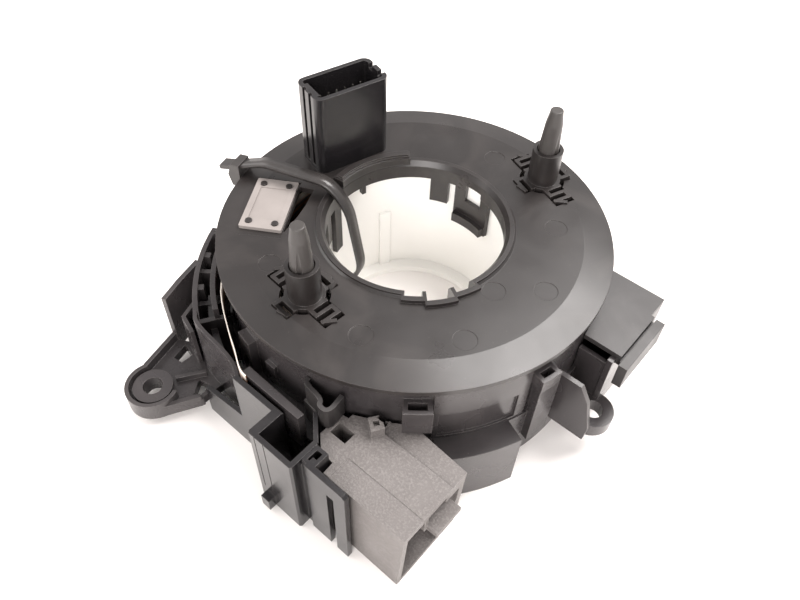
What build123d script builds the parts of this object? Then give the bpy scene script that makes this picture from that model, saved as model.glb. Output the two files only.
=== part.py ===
from build123d import *
import os
from math import atan2, cos, degrees, radians, sin, tan

os.makedirs("parts", exist_ok=True)

# Steering clock spring, in millimetres. The origin is on the steering axis, in the plane that
# the housing rests on, +Z points at the steering wheel, +X is the way the large socket opens.

# Fits
running_gap = 0.3
seat_gap = 0.3
pin_fit = 0.05

# Rotor disc
disc_radius = 52.5
disc_top = 42.4
disc_thickness = 1.8
rim_drop = 1.4
rim_thickness = 1.3
cone_radius = 44.5
bore_radius = 24.0
collar_radius = 26.2
collar_lip = 1.2
collar_rise = 1.1
bore_wall = 1.4
bore_wall_depth = 5.5
disc_under = disc_top - disc_thickness
collar_top = disc_top + collar_rise
bore_wall_bottom = collar_top - bore_wall_depth
mark_radius = 3.0
mark_depth = 0.15
mark_places = [(14.9, -37.1), (33.7, -22.0), (29.7, -5.3), (39.2, 3.4), (28.7, 24.0), (-0.7, 36.7)]
mark_places += [(-17.5, -35.8)]

# Inner hub
hub_wall = 1.5
hub_inner = bore_radius + bore_wall + running_gap
hub_outer = hub_inner + hub_wall
hub_flange_radius = hub_outer + 1.6
hub_flange_bottom = 0.0
hub_flange_thickness = 2.0
hub_lip_radius = 22.0

# Base housing
drum_radius = 52.0
drum_wall = 1.8
drum_top = 19.6
floor_bottom = hub_flange_bottom + hub_flange_thickness + running_gap
floor_thickness = 2.0
skirt_radius = 58.0
skirt_wall = 1.8
front_skirt = (-43.9, -22.0)
left_skirt = (-132.0, -71.8)
lug_thickness = 5.2
left_lug_bottom = 3.0
right_lug_bottom = 7.8
lug_hole_radius = 2.7

# Ribbon housing
cassette_radius = 51.0
cassette_wall = 1.6
cassette_floor = 1.5
cassette_top = disc_under - 0.8 - running_gap

# Flat ribbon cable
ribbon_bottom = drum_top + cassette_floor + seat_gap
ribbon_width = 12.3
ribbon_thickness = 0.4
ribbon_half_turns = 9
ribbon_end_angle = 208.0

# Wheel connector
connector_angle = 164.7
connector_distance = 36.1
connector_length = 22.5
connector_depth = 12.0
connector_height = 23.9
connector_wall = 1.3
connector_corner = 2.4
connector_floor = 3.0
wheel_pin_pitch = 2.54
wheel_pin_count = 6
wheel_pin_size = 0.64

# Driver pins
pin_places = {"left": (-3.5, -37.2), "right": (14.7, 38.2)}
sleeve_radius = 4.2
sleeve_wall = 0.7
sleeve_top = 53.0
sleeve_bottom = disc_under - 1.8
tip_top = 65.5
tip_radius = 1.7
star_arm = 9.6
star_width = 6.2

# Window plate
window_angle = 212.2
window_distance = 39.8
window_length = 19.4
window_width = 11.5
window_thickness = 1.0
window_recess = 0.5
stake_radius = 0.9
stake_inset = 2.2

# Terminal block
block_top = 30.6
block_wall = 1.3
box_x = (8.3, 22.4)
box_y = (-68.0, -59.8)
bracket_y = (-65.6, -64.2)
bracket_x = (24.4, 36.4)

# Socket
socket_x = (26.6, 51.0)
socket_y = (-62.6, -41.2)
socket_top = 27.7
socket_wall = 1.4
socket_step_y = -46.4
socket_step_drop = 0.5

# Side cover
cover_x = (44.4, 60.3)
cover_y = (7.6, 32.0)
cover_top = 31.0
cover_thickness = 1.5
web_thickness = 1.3

# Cable tie
tie_width = 3.6
tie_thickness = 1.1
tie_angle = 197.0
tie_passage = 3.0


def at(radius, angle):
    """Point at a radius and an angle about the steering axis."""
    return (radius * cos(radians(angle)), radius * sin(radians(angle)))


def ring_face(inner, outer, start, end):
    """Ring sector added to the sketch in work."""
    with BuildLine() as outline:
        outside = CenterArc((0, 0), outer, start, end - start)
        inside = CenterArc((0, 0), inner, start, end - start)
        Line(outside @ 0, inside @ 0)
        Line(outside @ 1, inside @ 1)
    make_face(outline.edges())


def arc_wall(inner, outer, start, end, bottom, top, mode=Mode.ADD):
    """Upright curved wall about the steering axis."""
    with BuildSketch(Plane.XY.offset(bottom)) as plan:
        ring_face(inner, outer, start, end)
    extrude(plan.sketch, amount=top - bottom, mode=mode)


def ring(inner, outer, bottom, top, mode=Mode.ADD):
    """Full upright ring about the steering axis."""
    with BuildSketch(Plane.XY.offset(bottom)) as plan:
        Circle(outer)
        if inner:
            Circle(inner, mode=Mode.SUBTRACT)
    extrude(plan.sketch, amount=top - bottom, mode=mode)


def block(x, y, z, mode=Mode.ADD):
    """Upright block between two values on each axis."""
    with BuildSketch(Plane.XY.offset(z[0])) as plan:
        with Locations(((x[0] + x[1]) / 2, (y[0] + y[1]) / 2)):
            Rectangle(x[1] - x[0], y[1] - y[0])
    extrude(plan.sketch, amount=z[1] - z[0], mode=mode)


def prism(points, bottom, top, mode=Mode.ADD):
    """Upright prism over a plan outline."""
    with BuildSketch(Plane.XY.offset(bottom)) as plan:
        with BuildLine() as outline:
            Polyline(*points, close=True)
        make_face(outline.edges())
    extrude(plan.sketch, amount=top - bottom, mode=mode)


def straight_wall(first, last, thickness, bottom, top, mode=Mode.ADD):
    """Upright wall between two plan points, its thickness to the left of the way it runs."""
    length = ((last[0] - first[0]) ** 2 + (last[1] - first[1]) ** 2) ** 0.5
    across = (-(last[1] - first[1]) / length * thickness, (last[0] - first[0]) / length * thickness)
    corners = [first, last, (last[0] + across[0], last[1] + across[1])]
    corners += [(first[0] + across[0], first[1] + across[1])]
    prism(corners, bottom, top, mode)


def finish(builder, name):
    """Names a finished piece and writes it."""
    builder.part.label = name
    export_step(builder.part, "parts/" + name + ".step")


def local_plane(distance, angle, height):
    """Plane whose x runs outwards and y along the circle, at a place on the rotor."""
    x, y = at(distance, angle)
    return Plane(origin=(x, y, height), x_dir=(cos(radians(angle)), sin(radians(angle)), 0), z_dir=(0, 0, 1))


def window_plane(height):
    """Plane of the window plate's centre."""
    return local_plane(window_distance, window_angle, height)


def stake_points():
    """Centres of the four heat stakes in the window plate's own plane."""
    half_x = window_width / 2 - stake_inset
    half_y = window_length / 2 - stake_inset
    return [(x, y) for x in (-half_x, half_x) for y in (-half_y, half_y)]


# Rotor disc: a shallow plate with a coned rim and a collar round the bore
collar_steps = [(-57, -45, 1.8), (-45, -29, 3.2), (-29, -15, 2.0)]

with BuildPart() as rotor_disc:
    with BuildSketch(Plane.XZ) as disc_section:
        with BuildLine():
            Polyline(
                (bore_radius, bore_wall_bottom),
                (bore_radius + bore_wall, bore_wall_bottom),
                (bore_radius + bore_wall, disc_under),
                (cone_radius, disc_under),
                (disc_radius, disc_top - rim_drop - rim_thickness),
                (disc_radius, disc_top - rim_drop),
                (cone_radius, disc_top),
                (collar_radius + 0.6, disc_top),
                (collar_radius, disc_top + 0.5),
                (collar_radius, collar_top),
                (collar_radius - collar_lip, collar_top),
                (bore_radius, collar_top - 1.5),
                close=True,
            )
        make_face()
    revolve(axis=Axis.Z)
    # The near side of the bore steps outwards in three flats of its own depth
    for start, end, depth in collar_steps:
        arc_wall(collar_radius - 1.0, collar_radius + depth, start, end, disc_under, collar_top)
    for start, end, depth in collar_steps:
        inner = collar_radius + depth - bore_wall
        arc_wall(bore_radius - 2.0, inner, start + 1, end - 1, bore_wall_bottom - 1, collar_top + 1, Mode.SUBTRACT)
    # Raised guide rib beside the connector
    arc_wall(bore_radius + 0.3, collar_radius + 1.2, 134, 187, disc_under, collar_top + 1.3)
    rib_edges = rotor_disc.edges().filter_by(GeomType.CIRCLE).group_by(Axis.Z)[-1]
    fillet(rib_edges, 0.5)
    # Latch frame and tabs that reach down the bore to hold the hub
    latch_outer = bore_radius + bore_wall
    arc_wall(bore_radius + 0.2, latch_outer, 72, 101, 25.6, disc_under)
    arc_wall(bore_radius - 1.4, latch_outer, 73, 100, 25.6, 28.6)
    arc_wall(bore_radius - 2, latch_outer + 1, 79.5, 92.5, 33.6, 39.6, Mode.SUBTRACT)
    arc_wall(bore_radius, latch_outer, 106, 119, 30.0, disc_under)
    arc_wall(bore_radius, latch_outer, 166, 169, 35.4, disc_under)
    arc_wall(bore_radius, latch_outer, 190, 198, 21.0, disc_under)
    arc_wall(bore_radius, latch_outer, 205, 212, 29.0, disc_under)
    # Cross-shaped openings round the two driver pins
    for place in pin_places.values():
        pin_angle = degrees(atan2(place[1], place[0]))
        distance = (place[0] ** 2 + place[1] ** 2) ** 0.5
        with BuildSketch(local_plane(distance, pin_angle, disc_under - 1)) as star:
            Rectangle(2 * star_arm - 3.2, star_width)
            with Locations((0, 0)):
                Rectangle(star_width, 2 * star_arm + 3.4)
            Circle(sleeve_radius + 2.1)
        extrude(star.sketch, amount=disc_thickness + 2, mode=Mode.SUBTRACT)
    # Recess, opening and heat stakes of the window plate
    with BuildSketch(window_plane(disc_top - window_recess)) as recess:
        with Locations((2.0, 0.8)):
            Rectangle(window_width + 5.0, window_length + 3.0)
    extrude(recess.sketch, amount=3, mode=Mode.SUBTRACT)
    with BuildSketch(window_plane(disc_under - 1)) as window_hole:
        Rectangle(window_width - 4.6, window_length - 8.4)
        with BuildLine() as slot_outline:
            Polyline((-6.3, -8.6), (-10.4, -8.2), (-9.6, -1.6), (-8.6, 3.0), (-6.6, 9.4), (-6.3, 9.4), close=True)
        make_face(slot_outline.edges())
    extrude(window_hole.sketch, amount=disc_thickness + 3, mode=Mode.SUBTRACT)
    with BuildSketch(window_plane(disc_top - window_recess)) as stakes:
        with Locations(*stake_points()):
            Circle(stake_radius)
    extrude(stakes.sketch, amount=window_thickness + 0.35)
    # Round marks that the mould's ejectors leave
    with BuildSketch(Plane.XY.offset(disc_top - mark_depth)) as marks:
        with Locations(*mark_places):
            Circle(mark_radius)
    extrude(marks.sketch, amount=1, mode=Mode.SUBTRACT)
finish(rotor_disc, "rotor_disc")

# Inner hub: the white sleeve that the ribbon winds on, hung from the disc
with BuildPart() as inner_hub:
    ring(hub_inner, hub_outer, hub_flange_bottom, disc_under - 0.02)
    ring(hub_lip_radius, hub_flange_radius, hub_flange_bottom, hub_flange_bottom + hub_flange_thickness)
    hub_key_angles = (30, 150, 270)
    for angle in hub_key_angles:
        arc_wall(hub_inner - 0.9, hub_inner + 0.2, angle - 4, angle + 4, hub_flange_bottom + 1, 24.0)
    with BuildSketch(Plane(origin=(0, 0, -1), x_dir=(*at(1, tie_angle), 0), z_dir=(0, 0, 1))) as tie_groove:
        with Locations((hub_outer, 0)):
            Rectangle(14, tie_width + 1.2)
    extrude(amount=1 + tie_thickness + 0.6, mode=Mode.SUBTRACT)
    with BuildSketch(Plane(origin=(0, 0, -1), x_dir=(*at(1, tie_angle), 0), z_dir=(0, 0, 1))) as tie_notch:
        with Locations(((hub_inner + hub_lip_radius) / 2 - 0.5, 0)):
            Rectangle(hub_inner - hub_lip_radius + 1, tie_width + 1.2)
    extrude(amount=hub_flange_thickness + 2, mode=Mode.SUBTRACT)
finish(inner_hub, "inner_hub")

# Window plate: a clear plate over the centre mark, held by the disc's stakes
with BuildPart() as window_plate:
    with BuildSketch(window_plane(disc_top - window_recess)):
        RectangleRounded(window_width, window_length, 0.4)
        with Locations(*stake_points()):
            Circle(stake_radius + pin_fit, mode=Mode.SUBTRACT)
    extrude(amount=window_thickness)
    with BuildSketch(window_plane(disc_top - window_recess + window_thickness - 0.25)):
        Rectangle(window_width - 3.4, window_length - 7.0)
    extrude(amount=1, mode=Mode.SUBTRACT)
finish(window_plate, "window_plate")

# Wheel connector: a tall open shroud that the steering wheel's plug pushes into
connector_base = disc_top + 0.02
connector_top = connector_base + connector_height


def connector_plane(height):
    """Plane of the wheel connector's centre."""
    return local_plane(connector_distance, connector_angle, height)


with BuildPart() as wheel_connector:
    with BuildSketch(connector_plane(connector_base)):
        RectangleRounded(connector_depth, connector_length, connector_corner)
    extrude(amount=connector_height)
    with BuildSketch(connector_plane(connector_base + connector_floor)):
        inner_depth = connector_depth - 2 * connector_wall
        RectangleRounded(inner_depth, connector_length - 2 * connector_wall, connector_corner - connector_wall)
    extrude(amount=connector_height, mode=Mode.SUBTRACT)
    # Keying grooves down the near end and snap notches in the far end's rim
    with BuildSketch(connector_plane(connector_base + 1.0)):
        with Locations((-1.9, connector_length / 2), (1.3, connector_length / 2)):
            Rectangle(1.3, 1.5)
    extrude(amount=connector_height, mode=Mode.SUBTRACT)
    with BuildSketch(connector_plane(connector_base)):
        with Locations((-0.3, connector_length / 2 - connector_wall - 0.4)):
            Rectangle(6.6, 0.9)
    extrude(amount=connector_height)
    with BuildSketch(connector_plane(connector_top - 1.6)):
        with Locations((-2.4, -connector_length / 2), (2.0, -connector_length / 2)):
            Rectangle(1.6, 4.0)
    extrude(amount=3, mode=Mode.SUBTRACT)
    # Holes in the floor for the terminals
    with BuildSketch(connector_plane(connector_base - 1)):
        with GridLocations(3.0, wheel_pin_pitch, 2, wheel_pin_count):
            Rectangle(wheel_pin_size + 2 * pin_fit, wheel_pin_size + 2 * pin_fit)
    extrude(amount=connector_floor + 2, mode=Mode.SUBTRACT)
    rim_edges = wheel_connector.edges().group_by(Axis.Z)[-1]
finish(wheel_connector, "wheel_connector")

# Wheel terminals: square pins that stand in the shroud, carried by the lead frame below
lead_frame_bottom = ribbon_bottom + ribbon_width + 0.8
with BuildPart() as wheel_terminals:
    with BuildSketch(connector_plane(disc_under - 2.0)):
        with GridLocations(3.0, wheel_pin_pitch, 2, wheel_pin_count):
            Rectangle(wheel_pin_size, wheel_pin_size)
    extrude(amount=connector_top - 7.0 - disc_under + 2.0)
    tip_faces = wheel_terminals.faces().group_by(Axis.Z)[-1]
    chamfer(tip_faces.edges(), 0.15)
finish(wheel_terminals, "wheel_terminals")

# Inner lead frame: the block under the disc where ribbon and terminals join
with BuildPart() as inner_lead_frame:
    with BuildSketch(connector_plane(lead_frame_bottom)):
        Rectangle(connector_depth - 3.0, connector_length - 3.0)
    extrude(amount=disc_under - lead_frame_bottom - 0.02)
    with BuildSketch(connector_plane(disc_under - 2.0 - pin_fit)):
        with GridLocations(3.0, wheel_pin_pitch, 2, wheel_pin_count):
            Rectangle(wheel_pin_size + 2 * pin_fit, wheel_pin_size + 2 * pin_fit)
    extrude(amount=4, mode=Mode.SUBTRACT)
finish(inner_lead_frame, "inner_lead_frame")

# Cuts the terminals' passage through the disc, so that pins and disc stay clear
with BuildPart() as disc_with_passage:
    add(rotor_disc.part)
    with BuildSketch(connector_plane(disc_under - 1)):
        with GridLocations(3.0, wheel_pin_pitch, 2, wheel_pin_count):
            Rectangle(wheel_pin_size + 2 * pin_fit, wheel_pin_size + 2 * pin_fit)
    extrude(amount=disc_thickness + 2, mode=Mode.SUBTRACT)
finish(disc_with_passage, "rotor_disc")

# Driver pins: a tube on a springy star of thin ribs, and a tapered fluted tip inside it
for side, place in pin_places.items():
    pin_angle = degrees(atan2(place[1], place[0]))
    distance = (place[0] ** 2 + place[1] ** 2) ** 0.5
    with BuildPart() as sleeve:
        with BuildSketch(local_plane(distance, pin_angle, sleeve_bottom)):
            Circle(sleeve_radius)
        extrude(amount=sleeve_top - sleeve_bottom)
        with BuildSketch(local_plane(distance, pin_angle, sleeve_bottom + 3)):
            Circle(sleeve_radius - sleeve_wall - 0.35)
        extrude(amount=sleeve_top - sleeve_bottom, mode=Mode.SUBTRACT)
        # Star of zig-zag ribs that lets the pin float in the disc's opening
        with BuildSketch(local_plane(distance, pin_angle, sleeve_bottom)):
            for quarter in range(4):
                reach = (star_arm - 1.9) if quarter % 2 == 0 else (star_arm + 1.4)
                with Locations(Location((0, 0, 0), (0, 0, 90 * quarter))):
                    with Locations((reach / 2 + sleeve_radius / 2 - 0.4, star_width / 2 - 1.0)):
                        Rectangle(reach - sleeve_radius + 1.0, 0.8)
                    with Locations((reach / 2 + sleeve_radius / 2 - 0.4, -star_width / 2 + 1.0)):
                        Rectangle(reach - sleeve_radius + 1.0, 0.8)
                    with Locations((reach - 0.3, 0)):
                        Rectangle(0.8, star_width - 1.2)
            Circle(sleeve_radius + 0.6)
            Circle(sleeve_radius - 1.0, mode=Mode.SUBTRACT)
        extrude(amount=2.6)
    finish(sleeve, "pin_sleeve_" + side)
    with BuildPart() as pin:
        root_radius = sleeve_radius - sleeve_wall - 0.35 - pin_fit
        with BuildSketch(local_plane(distance, pin_angle, sleeve_bottom + 3 + pin_fit)):
            Circle(root_radius)
        extrude(amount=sleeve_top - sleeve_bottom - 4.6)
        with BuildSketch(local_plane(distance, pin_angle, sleeve_top - 1.6)):
            Circle(root_radius - 0.15)
        with BuildSketch(local_plane(distance, pin_angle, tip_top - 4.2)):
            Circle(root_radius - 0.75)
        loft()
        with BuildSketch(local_plane(distance, pin_angle, tip_top - 4.2)):
            Circle(root_radius - 0.75)
        with BuildSketch(local_plane(distance, pin_angle, tip_top)):
            Circle(tip_radius)
        loft()
        # Three flutes down the taper
        for flute in range(3):
            with BuildSketch(local_plane(distance, pin_angle, sleeve_top - 1.6)):
                with Locations(Location((0, 0, 0), (0, 0, 120 * flute + 40))):
                    with Locations((root_radius + 0.35, 0)):
                        Circle(1.0)
            extrude(amount=tip_top, mode=Mode.SUBTRACT)
        fillet(pin.faces().sort_by(Axis.Z)[-1].edges(), 0.3)
    finish(pin, "driver_pin_" + side)

# Ribbon housing: the open ring that the ribbon lies in, with its floor and snap catches
with BuildPart() as ribbon_housing:
    ring(cassette_radius - cassette_wall, cassette_radius, drum_top, cassette_top)
    ring(hub_outer + running_gap, cassette_radius, drum_top, drum_top + cassette_floor)
    # Slot where the ribbon leaves
    arc_wall(cassette_radius - 3, cassette_radius + 5, 214, 236, drum_top + cassette_floor, 50, Mode.SUBTRACT)
    # Sunk panel in the front right of the wall, below a plain band
    arc_wall(cassette_radius - 0.9, cassette_radius + 1, -43, -20, drum_top + 1, 27.2, Mode.SUBTRACT)
    arc_wall(cassette_radius - 0.4, cassette_radius + 0.7, -45, -17, 27.2, cassette_top - 0.6)
    band_plane = Plane(origin=(*at(cassette_radius + 0.2, -32), 33.4), z_dir=(*at(1, -32), 0))
    with BuildSketch(band_plane):
        Circle(1.6)
    extrude(amount=1.3)
    # Loop catches that the base housing's hooks spring into
    for start, end in ((-51, -45.5), (-16.5, -11), (62, 67), (132, 137)):
        arc_wall(cassette_radius - 0.4, cassette_radius + 3.9, start, end, 33.0, 36.2)
        middle = (start + end) / 2
        arc_wall(cassette_radius + 1.1, cassette_radius + 2.8, middle - 1.5, middle + 1.5, 32, 40, Mode.SUBTRACT)
finish(ribbon_housing, "ribbon_housing")

# Base housing: drum, floor, skirt, screw lugs and the walls that carry the connectors
right_lug = (61.0, 2.2)
left_lug = (-33.6, -69.0)
left_lug_top = left_lug_bottom + lug_thickness
right_lug_top = right_lug_bottom + lug_thickness
right_boss_radius = 5.6
left_arm_radius = 7.4
left_boss_radius = 5.4
outer_wall_radius = 61.5
outer_wall_top = 24.0
inner_wall_top = 27.0
web_y = (-5.0, cover_y[0] - web_thickness - seat_gap)

with BuildPart() as base_housing:
    ring(drum_radius - drum_wall, drum_radius, 0, drum_top)
    ring(hub_outer + running_gap, drum_radius, floor_bottom, floor_bottom + floor_thickness)
    # Front skirt on both sides of the socket, with its shelf and end walls
    for start, end in (front_skirt, left_skirt):
        arc_wall(skirt_radius - skirt_wall, skirt_radius, start, end, 0, drum_top)
        for angle in (start, end - 1.6):
            arc_wall(drum_radius - 0.5, skirt_radius - 0.2, angle, angle + 1.6, 0, drum_top)
    arc_wall(drum_radius - 1, skirt_radius, *front_skirt, drum_top - 1.6, drum_top)
    arc_wall(drum_radius - 1, skirt_radius, -88, left_skirt[1], drum_top - 1.6, drum_top)
    # Post at the right end of the front
    arc_wall(drum_radius - 0.8, drum_radius + 1.6, -15.6, -9.0, right_lug_bottom, 31.5)
    # Left side: two curved walls joined by ribs, open between them
    arc_wall(outer_wall_radius - 1.4, outer_wall_radius, 206, 240, left_lug_bottom, outer_wall_top)
    arc_wall(54.8, 56.2, 214, 240, left_lug_bottom, inner_wall_top)
    for angle, top in ((206.5, 21.0), (221.0, 22.0), (231.0, 20.0), (239.0, 22.0)):
        arc_wall(drum_radius - 1, outer_wall_radius - 0.5, angle - 0.7, angle + 0.7, left_lug_bottom, top)
    # Pocket wall that runs out to the left lug, and the lug's arm
    pocket_corner = (-43.3, -54.0)
    straight_wall((-48.4, -38.0), pocket_corner, 1.4, left_lug_bottom, outer_wall_top)
    straight_wall(pocket_corner, (-34.0, -51.5), 1.4, left_lug_bottom, 16.0)
    arm_near = (left_lug[0] - 6.6, left_lug[1] + 3.4)
    arm_far = (left_lug[0] + 6.0, left_lug[1] - 4.2)
    with BuildSketch(Plane.XY.offset(left_lug_bottom)) as arm:
        with BuildLine() as arm_line:
            Polyline(pocket_corner, arm_near, left_lug, arm_far, (-21.6, -62.0), (-20.4, -55.0), (-36.0, -50.0), close=True)
        make_face(arm_line.edges())
        with Locations(left_lug):
            Circle(left_arm_radius)
        with BuildLine() as arm_slot:
            Polyline((-39.8, -53.6), (-38.2, -62.6), (-36.4, -61.2), (-36.8, -54.2), close=True)
        make_face(arm_slot.edges(), mode=Mode.SUBTRACT)
        with BuildLine() as arm_opening:
            Polyline((-27.4, -58.6), (-24.4, -63.0), (-23.0, -61.8), (-23.6, -57.6), close=True)
        make_face(arm_opening.edges(), mode=Mode.SUBTRACT)
    extrude(arm.sketch, amount=lug_thickness - 2.2)
    straight_wall(arm_near, pocket_corner, -1.2, left_lug_bottom, left_lug_top + 0.8)
    with BuildSketch(Plane.XY.offset(left_lug_bottom)) as arm_corner:
        with Locations(pocket_corner):
            Circle(1.2)
    extrude(arm_corner.sketch, amount=lug_thickness + 0.8)
    straight_wall(arm_far, (-21.6, -62.0), 1.2, left_lug_bottom, left_lug_top - 1.0)
    with BuildSketch(Plane.XY.offset(left_lug_bottom)) as left_rim:
        with Locations(left_lug):
            Circle(left_arm_radius)
            Circle(left_arm_radius - 1.1, mode=Mode.SUBTRACT)
        with Locations(Location((left_lug[0] + 4.2, left_lug[1] + 5.6), 57)):
            Rectangle(9, 12, mode=Mode.SUBTRACT)
    extrude(left_rim.sketch, amount=lug_thickness + 0.8)
    with BuildSketch(Plane.XY.offset(left_lug_bottom)) as left_boss:
        with Locations(left_lug):
            Circle(left_boss_radius)
    extrude(left_boss.sketch, amount=lug_thickness)
    # Right lug at the foot of an open channel between two webs
    with BuildSketch(Plane.XY.offset(right_lug_bottom)) as right_foot:
        with Locations(right_lug):
            Circle(right_boss_radius)
        with Locations((56.0, right_lug[1])):
            Rectangle(10.8, 2 * right_boss_radius)
    extrude(right_foot.sketch, amount=lug_thickness)
    web_profiles = [[(50.6, right_lug_bottom), (63.0, right_lug_bottom), (63.4, 14.0), (61.0, 23.6), (58.2, 28.2)]]
    web_profiles += [[(50.6, right_lug_bottom), (60.2, right_lug_bottom), (60.2, 24.4), (58.6, 27.4)]]
    for y, profile in zip(web_y, web_profiles):
        with BuildSketch(Plane.XZ.offset(-y - web_thickness)) as web:
            with BuildLine() as web_line:
                Polyline(*profile, (50.9, profile[-1][1]), (50.9, 20.0), close=True)
            make_face(web_line.edges())
        extrude(web.sketch, amount=web_thickness)
    # Side box below the cover
    wall_top = cover_top - cover_thickness
    straight_wall((cover_x[1], cover_y[0] - 2), (cover_x[1], cover_y[1]), 1.5, right_lug_bottom, wall_top)
    straight_wall((cover_x[1], cover_y[1]), (41.0, cover_y[1]), 1.5, right_lug_bottom, wall_top)
    block((41.0, cover_x[1] - 0.5), (6.0, cover_y[1] - 0.5), (right_lug_bottom, right_lug_bottom + 2))
    # Plate beside the terminal block, and the sloping shelf above it
    block((-21.4, 2.8), (-62.4, -53.0), (7.6, 10.6))
    shelf_points = [(-30.7, -53.9), (-24.0, -53.2), (-16.2, -54.1), (-10.5, -57.3), (-1.3, -62.4), (-18.5, -60.6)]
    prism([*shelf_points, (-24.5, -57.4)], 10.0, 21.0)
    # Screw holes of both lugs
    for lug, bottom in ((left_lug, left_lug_bottom), (right_lug, right_lug_bottom)):
        with BuildSketch(Plane.XY.offset(bottom - 1)) as screw_hole:
            with Locations(lug):
                Circle(lug_hole_radius)
        extrude(screw_hole.sketch, amount=lug_thickness + 20, mode=Mode.SUBTRACT)
    # Passage of the cable tie under the drum
    tie_start, tie_end = tie_angle - tie_passage, tie_angle + tie_passage
    arc_wall(drum_radius - 3, drum_radius + 1, tie_start, tie_end, -1, 3.0, Mode.SUBTRACT)
    # Clear space for the ribbon housing and the rotor
    ring(0, drum_radius - drum_wall, floor_bottom + floor_thickness, 60, Mode.SUBTRACT)
    ring(0, cassette_radius + seat_gap, drum_top, 60, Mode.SUBTRACT)
    ring(0, hub_outer + running_gap, -1, 60, Mode.SUBTRACT)
finish(base_housing, "base_housing")

# Side cover: the lid over the right-hand compartment, with its outer rail
with BuildPart() as side_cover:
    prism(
        [(44.0, cover_y[0]), (cover_x[1], cover_y[0]), (cover_x[1], cover_y[1]), (40.0, cover_y[1])],
        cover_top - cover_thickness + 0.02,
        cover_top,
    )
    block((cover_x[1] - 0.1, cover_x[1] + 1.0), (cover_y[0], 24.8), (cover_top - cover_thickness + 0.02, cover_top))
    block((cover_x[1] + 0.02, 62.4), (cover_y[0], 24.8), (27.6, 29.0))
    block((cover_x[1] + 0.02, cover_x[1] + 1.0), (cover_y[0], 24.8), (27.6, 30.0))
    block((61.9, 64.4), (5.2, 24.8), (23.0, cover_top - 0.4))
    ring(0, cassette_radius + seat_gap, 0, 60, Mode.SUBTRACT)
finish(side_cover, "side_cover")

# Flat ribbon cable: wound on the hub as a loose spiral of half circles, then led out
ribbon_start_radius = hub_outer + 0.4
ribbon_end_radius = cassette_radius - cassette_wall - 0.9
ribbon_step = (ribbon_end_radius - ribbon_start_radius) / ribbon_half_turns
exit_points = [(-34.6, -36.6), (-28.2, -44.6), (-22.8, -48.7), (-15.2, -53.0), (-3.4, -57.8)]


def spiral_side(shift):
    """One side of the ribbon's spiral, drawn in the line in work."""
    arcs = []
    first_angle = ribbon_end_angle - 180 * ribbon_half_turns
    for half_turn in range(ribbon_half_turns):
        centre = at(ribbon_step, first_angle) if half_turn % 2 else (0, 0)
        radius = ribbon_start_radius + shift + ribbon_step * half_turn
        arcs.append(CenterArc(centre, radius, first_angle + 180 * half_turn, 180))
    return arcs


with BuildPart() as ribbon_cable:
    with BuildSketch(Plane.XY.offset(ribbon_bottom)) as ribbon_plan:
        with BuildLine() as ribbon_outline:
            inner_side = spiral_side(0)
            outer_side = spiral_side(ribbon_thickness)
            outward = [(x + 0.8 * ribbon_thickness, y - 0.6 * ribbon_thickness) for x, y in exit_points]
            lead_inner = Spline(inner_side[-1] @ 1, *exit_points, tangents=(inner_side[-1] % 1, (1, -0.3)))
            lead_outer = Spline(outer_side[-1] @ 1, *outward, tangents=(outer_side[-1] % 1, (1, -0.3)))
            Line(inner_side[0] @ 0, outer_side[0] @ 0)
            Line(lead_inner @ 1, lead_outer @ 1)
        make_face()
    extrude(amount=ribbon_width)
finish(ribbon_cable, "ribbon_cable")

# Terminal block: open box, square tube, slotted bracket and ledge in one moulding
slot_x = (30.7, 32.8)
with BuildPart() as terminal_block:
    block(box_x, box_y, (0, block_top))
    block((box_x[0] + block_wall, box_x[1] - block_wall), (box_y[0] + block_wall, box_y[1] - block_wall), (2, 60), Mode.SUBTRACT)
    # Low flank of the box with its square peg
    block((3.5, box_x[0] + 0.5), (box_y[0] + 1.0, box_y[0] + 3.4), (0, 27.0))
    block((9.8, 12.6), (box_y[0] - 2.2, box_y[0] + 0.5), (1.6, 6.0))
    # Square tube between box and bracket
    block((22.9, 26.4), (-64.9, -60.1), (0, block_top + 0.9))
    block((23.8, 25.5), (-64.0, -61.0), (3, 60), Mode.SUBTRACT)
    block((box_x[1] - 0.5, 23.2), (-64.9, -62.0), (0, block_top - 2))
    # Slotted bracket in front of the socket
    block(bracket_x, bracket_y, (0, block_top + 0.9))
    block(slot_x, (bracket_y[0] - 1, bracket_y[1] + 1), (8.0, 26.0), Mode.SUBTRACT)
    block((bracket_x[0], bracket_x[0] + 2), (bracket_y[1] - 0.5, -62.9), (0, block_top + 0.9))
    # Feet that seat the block on the skirt
    block((10.0, 12.0), (-60.0, -54.0), (4, 12))
    block((16.0, 17.6), (-60.0, -54.0), (4, 12))
    ring(0, skirt_radius + 0.02, -1, 20, Mode.SUBTRACT)
    # Ledge and upright tab that the ribbon end sits on
    prism([(-5.0, -59.9), (-4.4, -54.9), (14.8, -56.2), (15.2, -59.9)], block_top - 2.0, block_top + 0.4)
    block((-3.0, 15.2), (-61.0, -59.9), (11.0, block_top + 0.4))
finish(terminal_block, "terminal_block")

# Contact blades in the terminal box
with BuildPart() as box_terminals:
    for x in (11.2, 14.0, 16.8, 19.6):
        block((x - 0.8, x + 0.8), (-64.4, -63.8), (2.02, 16.0))
        block((x - 0.4, x + 0.4), (-64.4, -63.8), (16.0, 18.5))
finish(box_terminals, "box_terminals")

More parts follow.
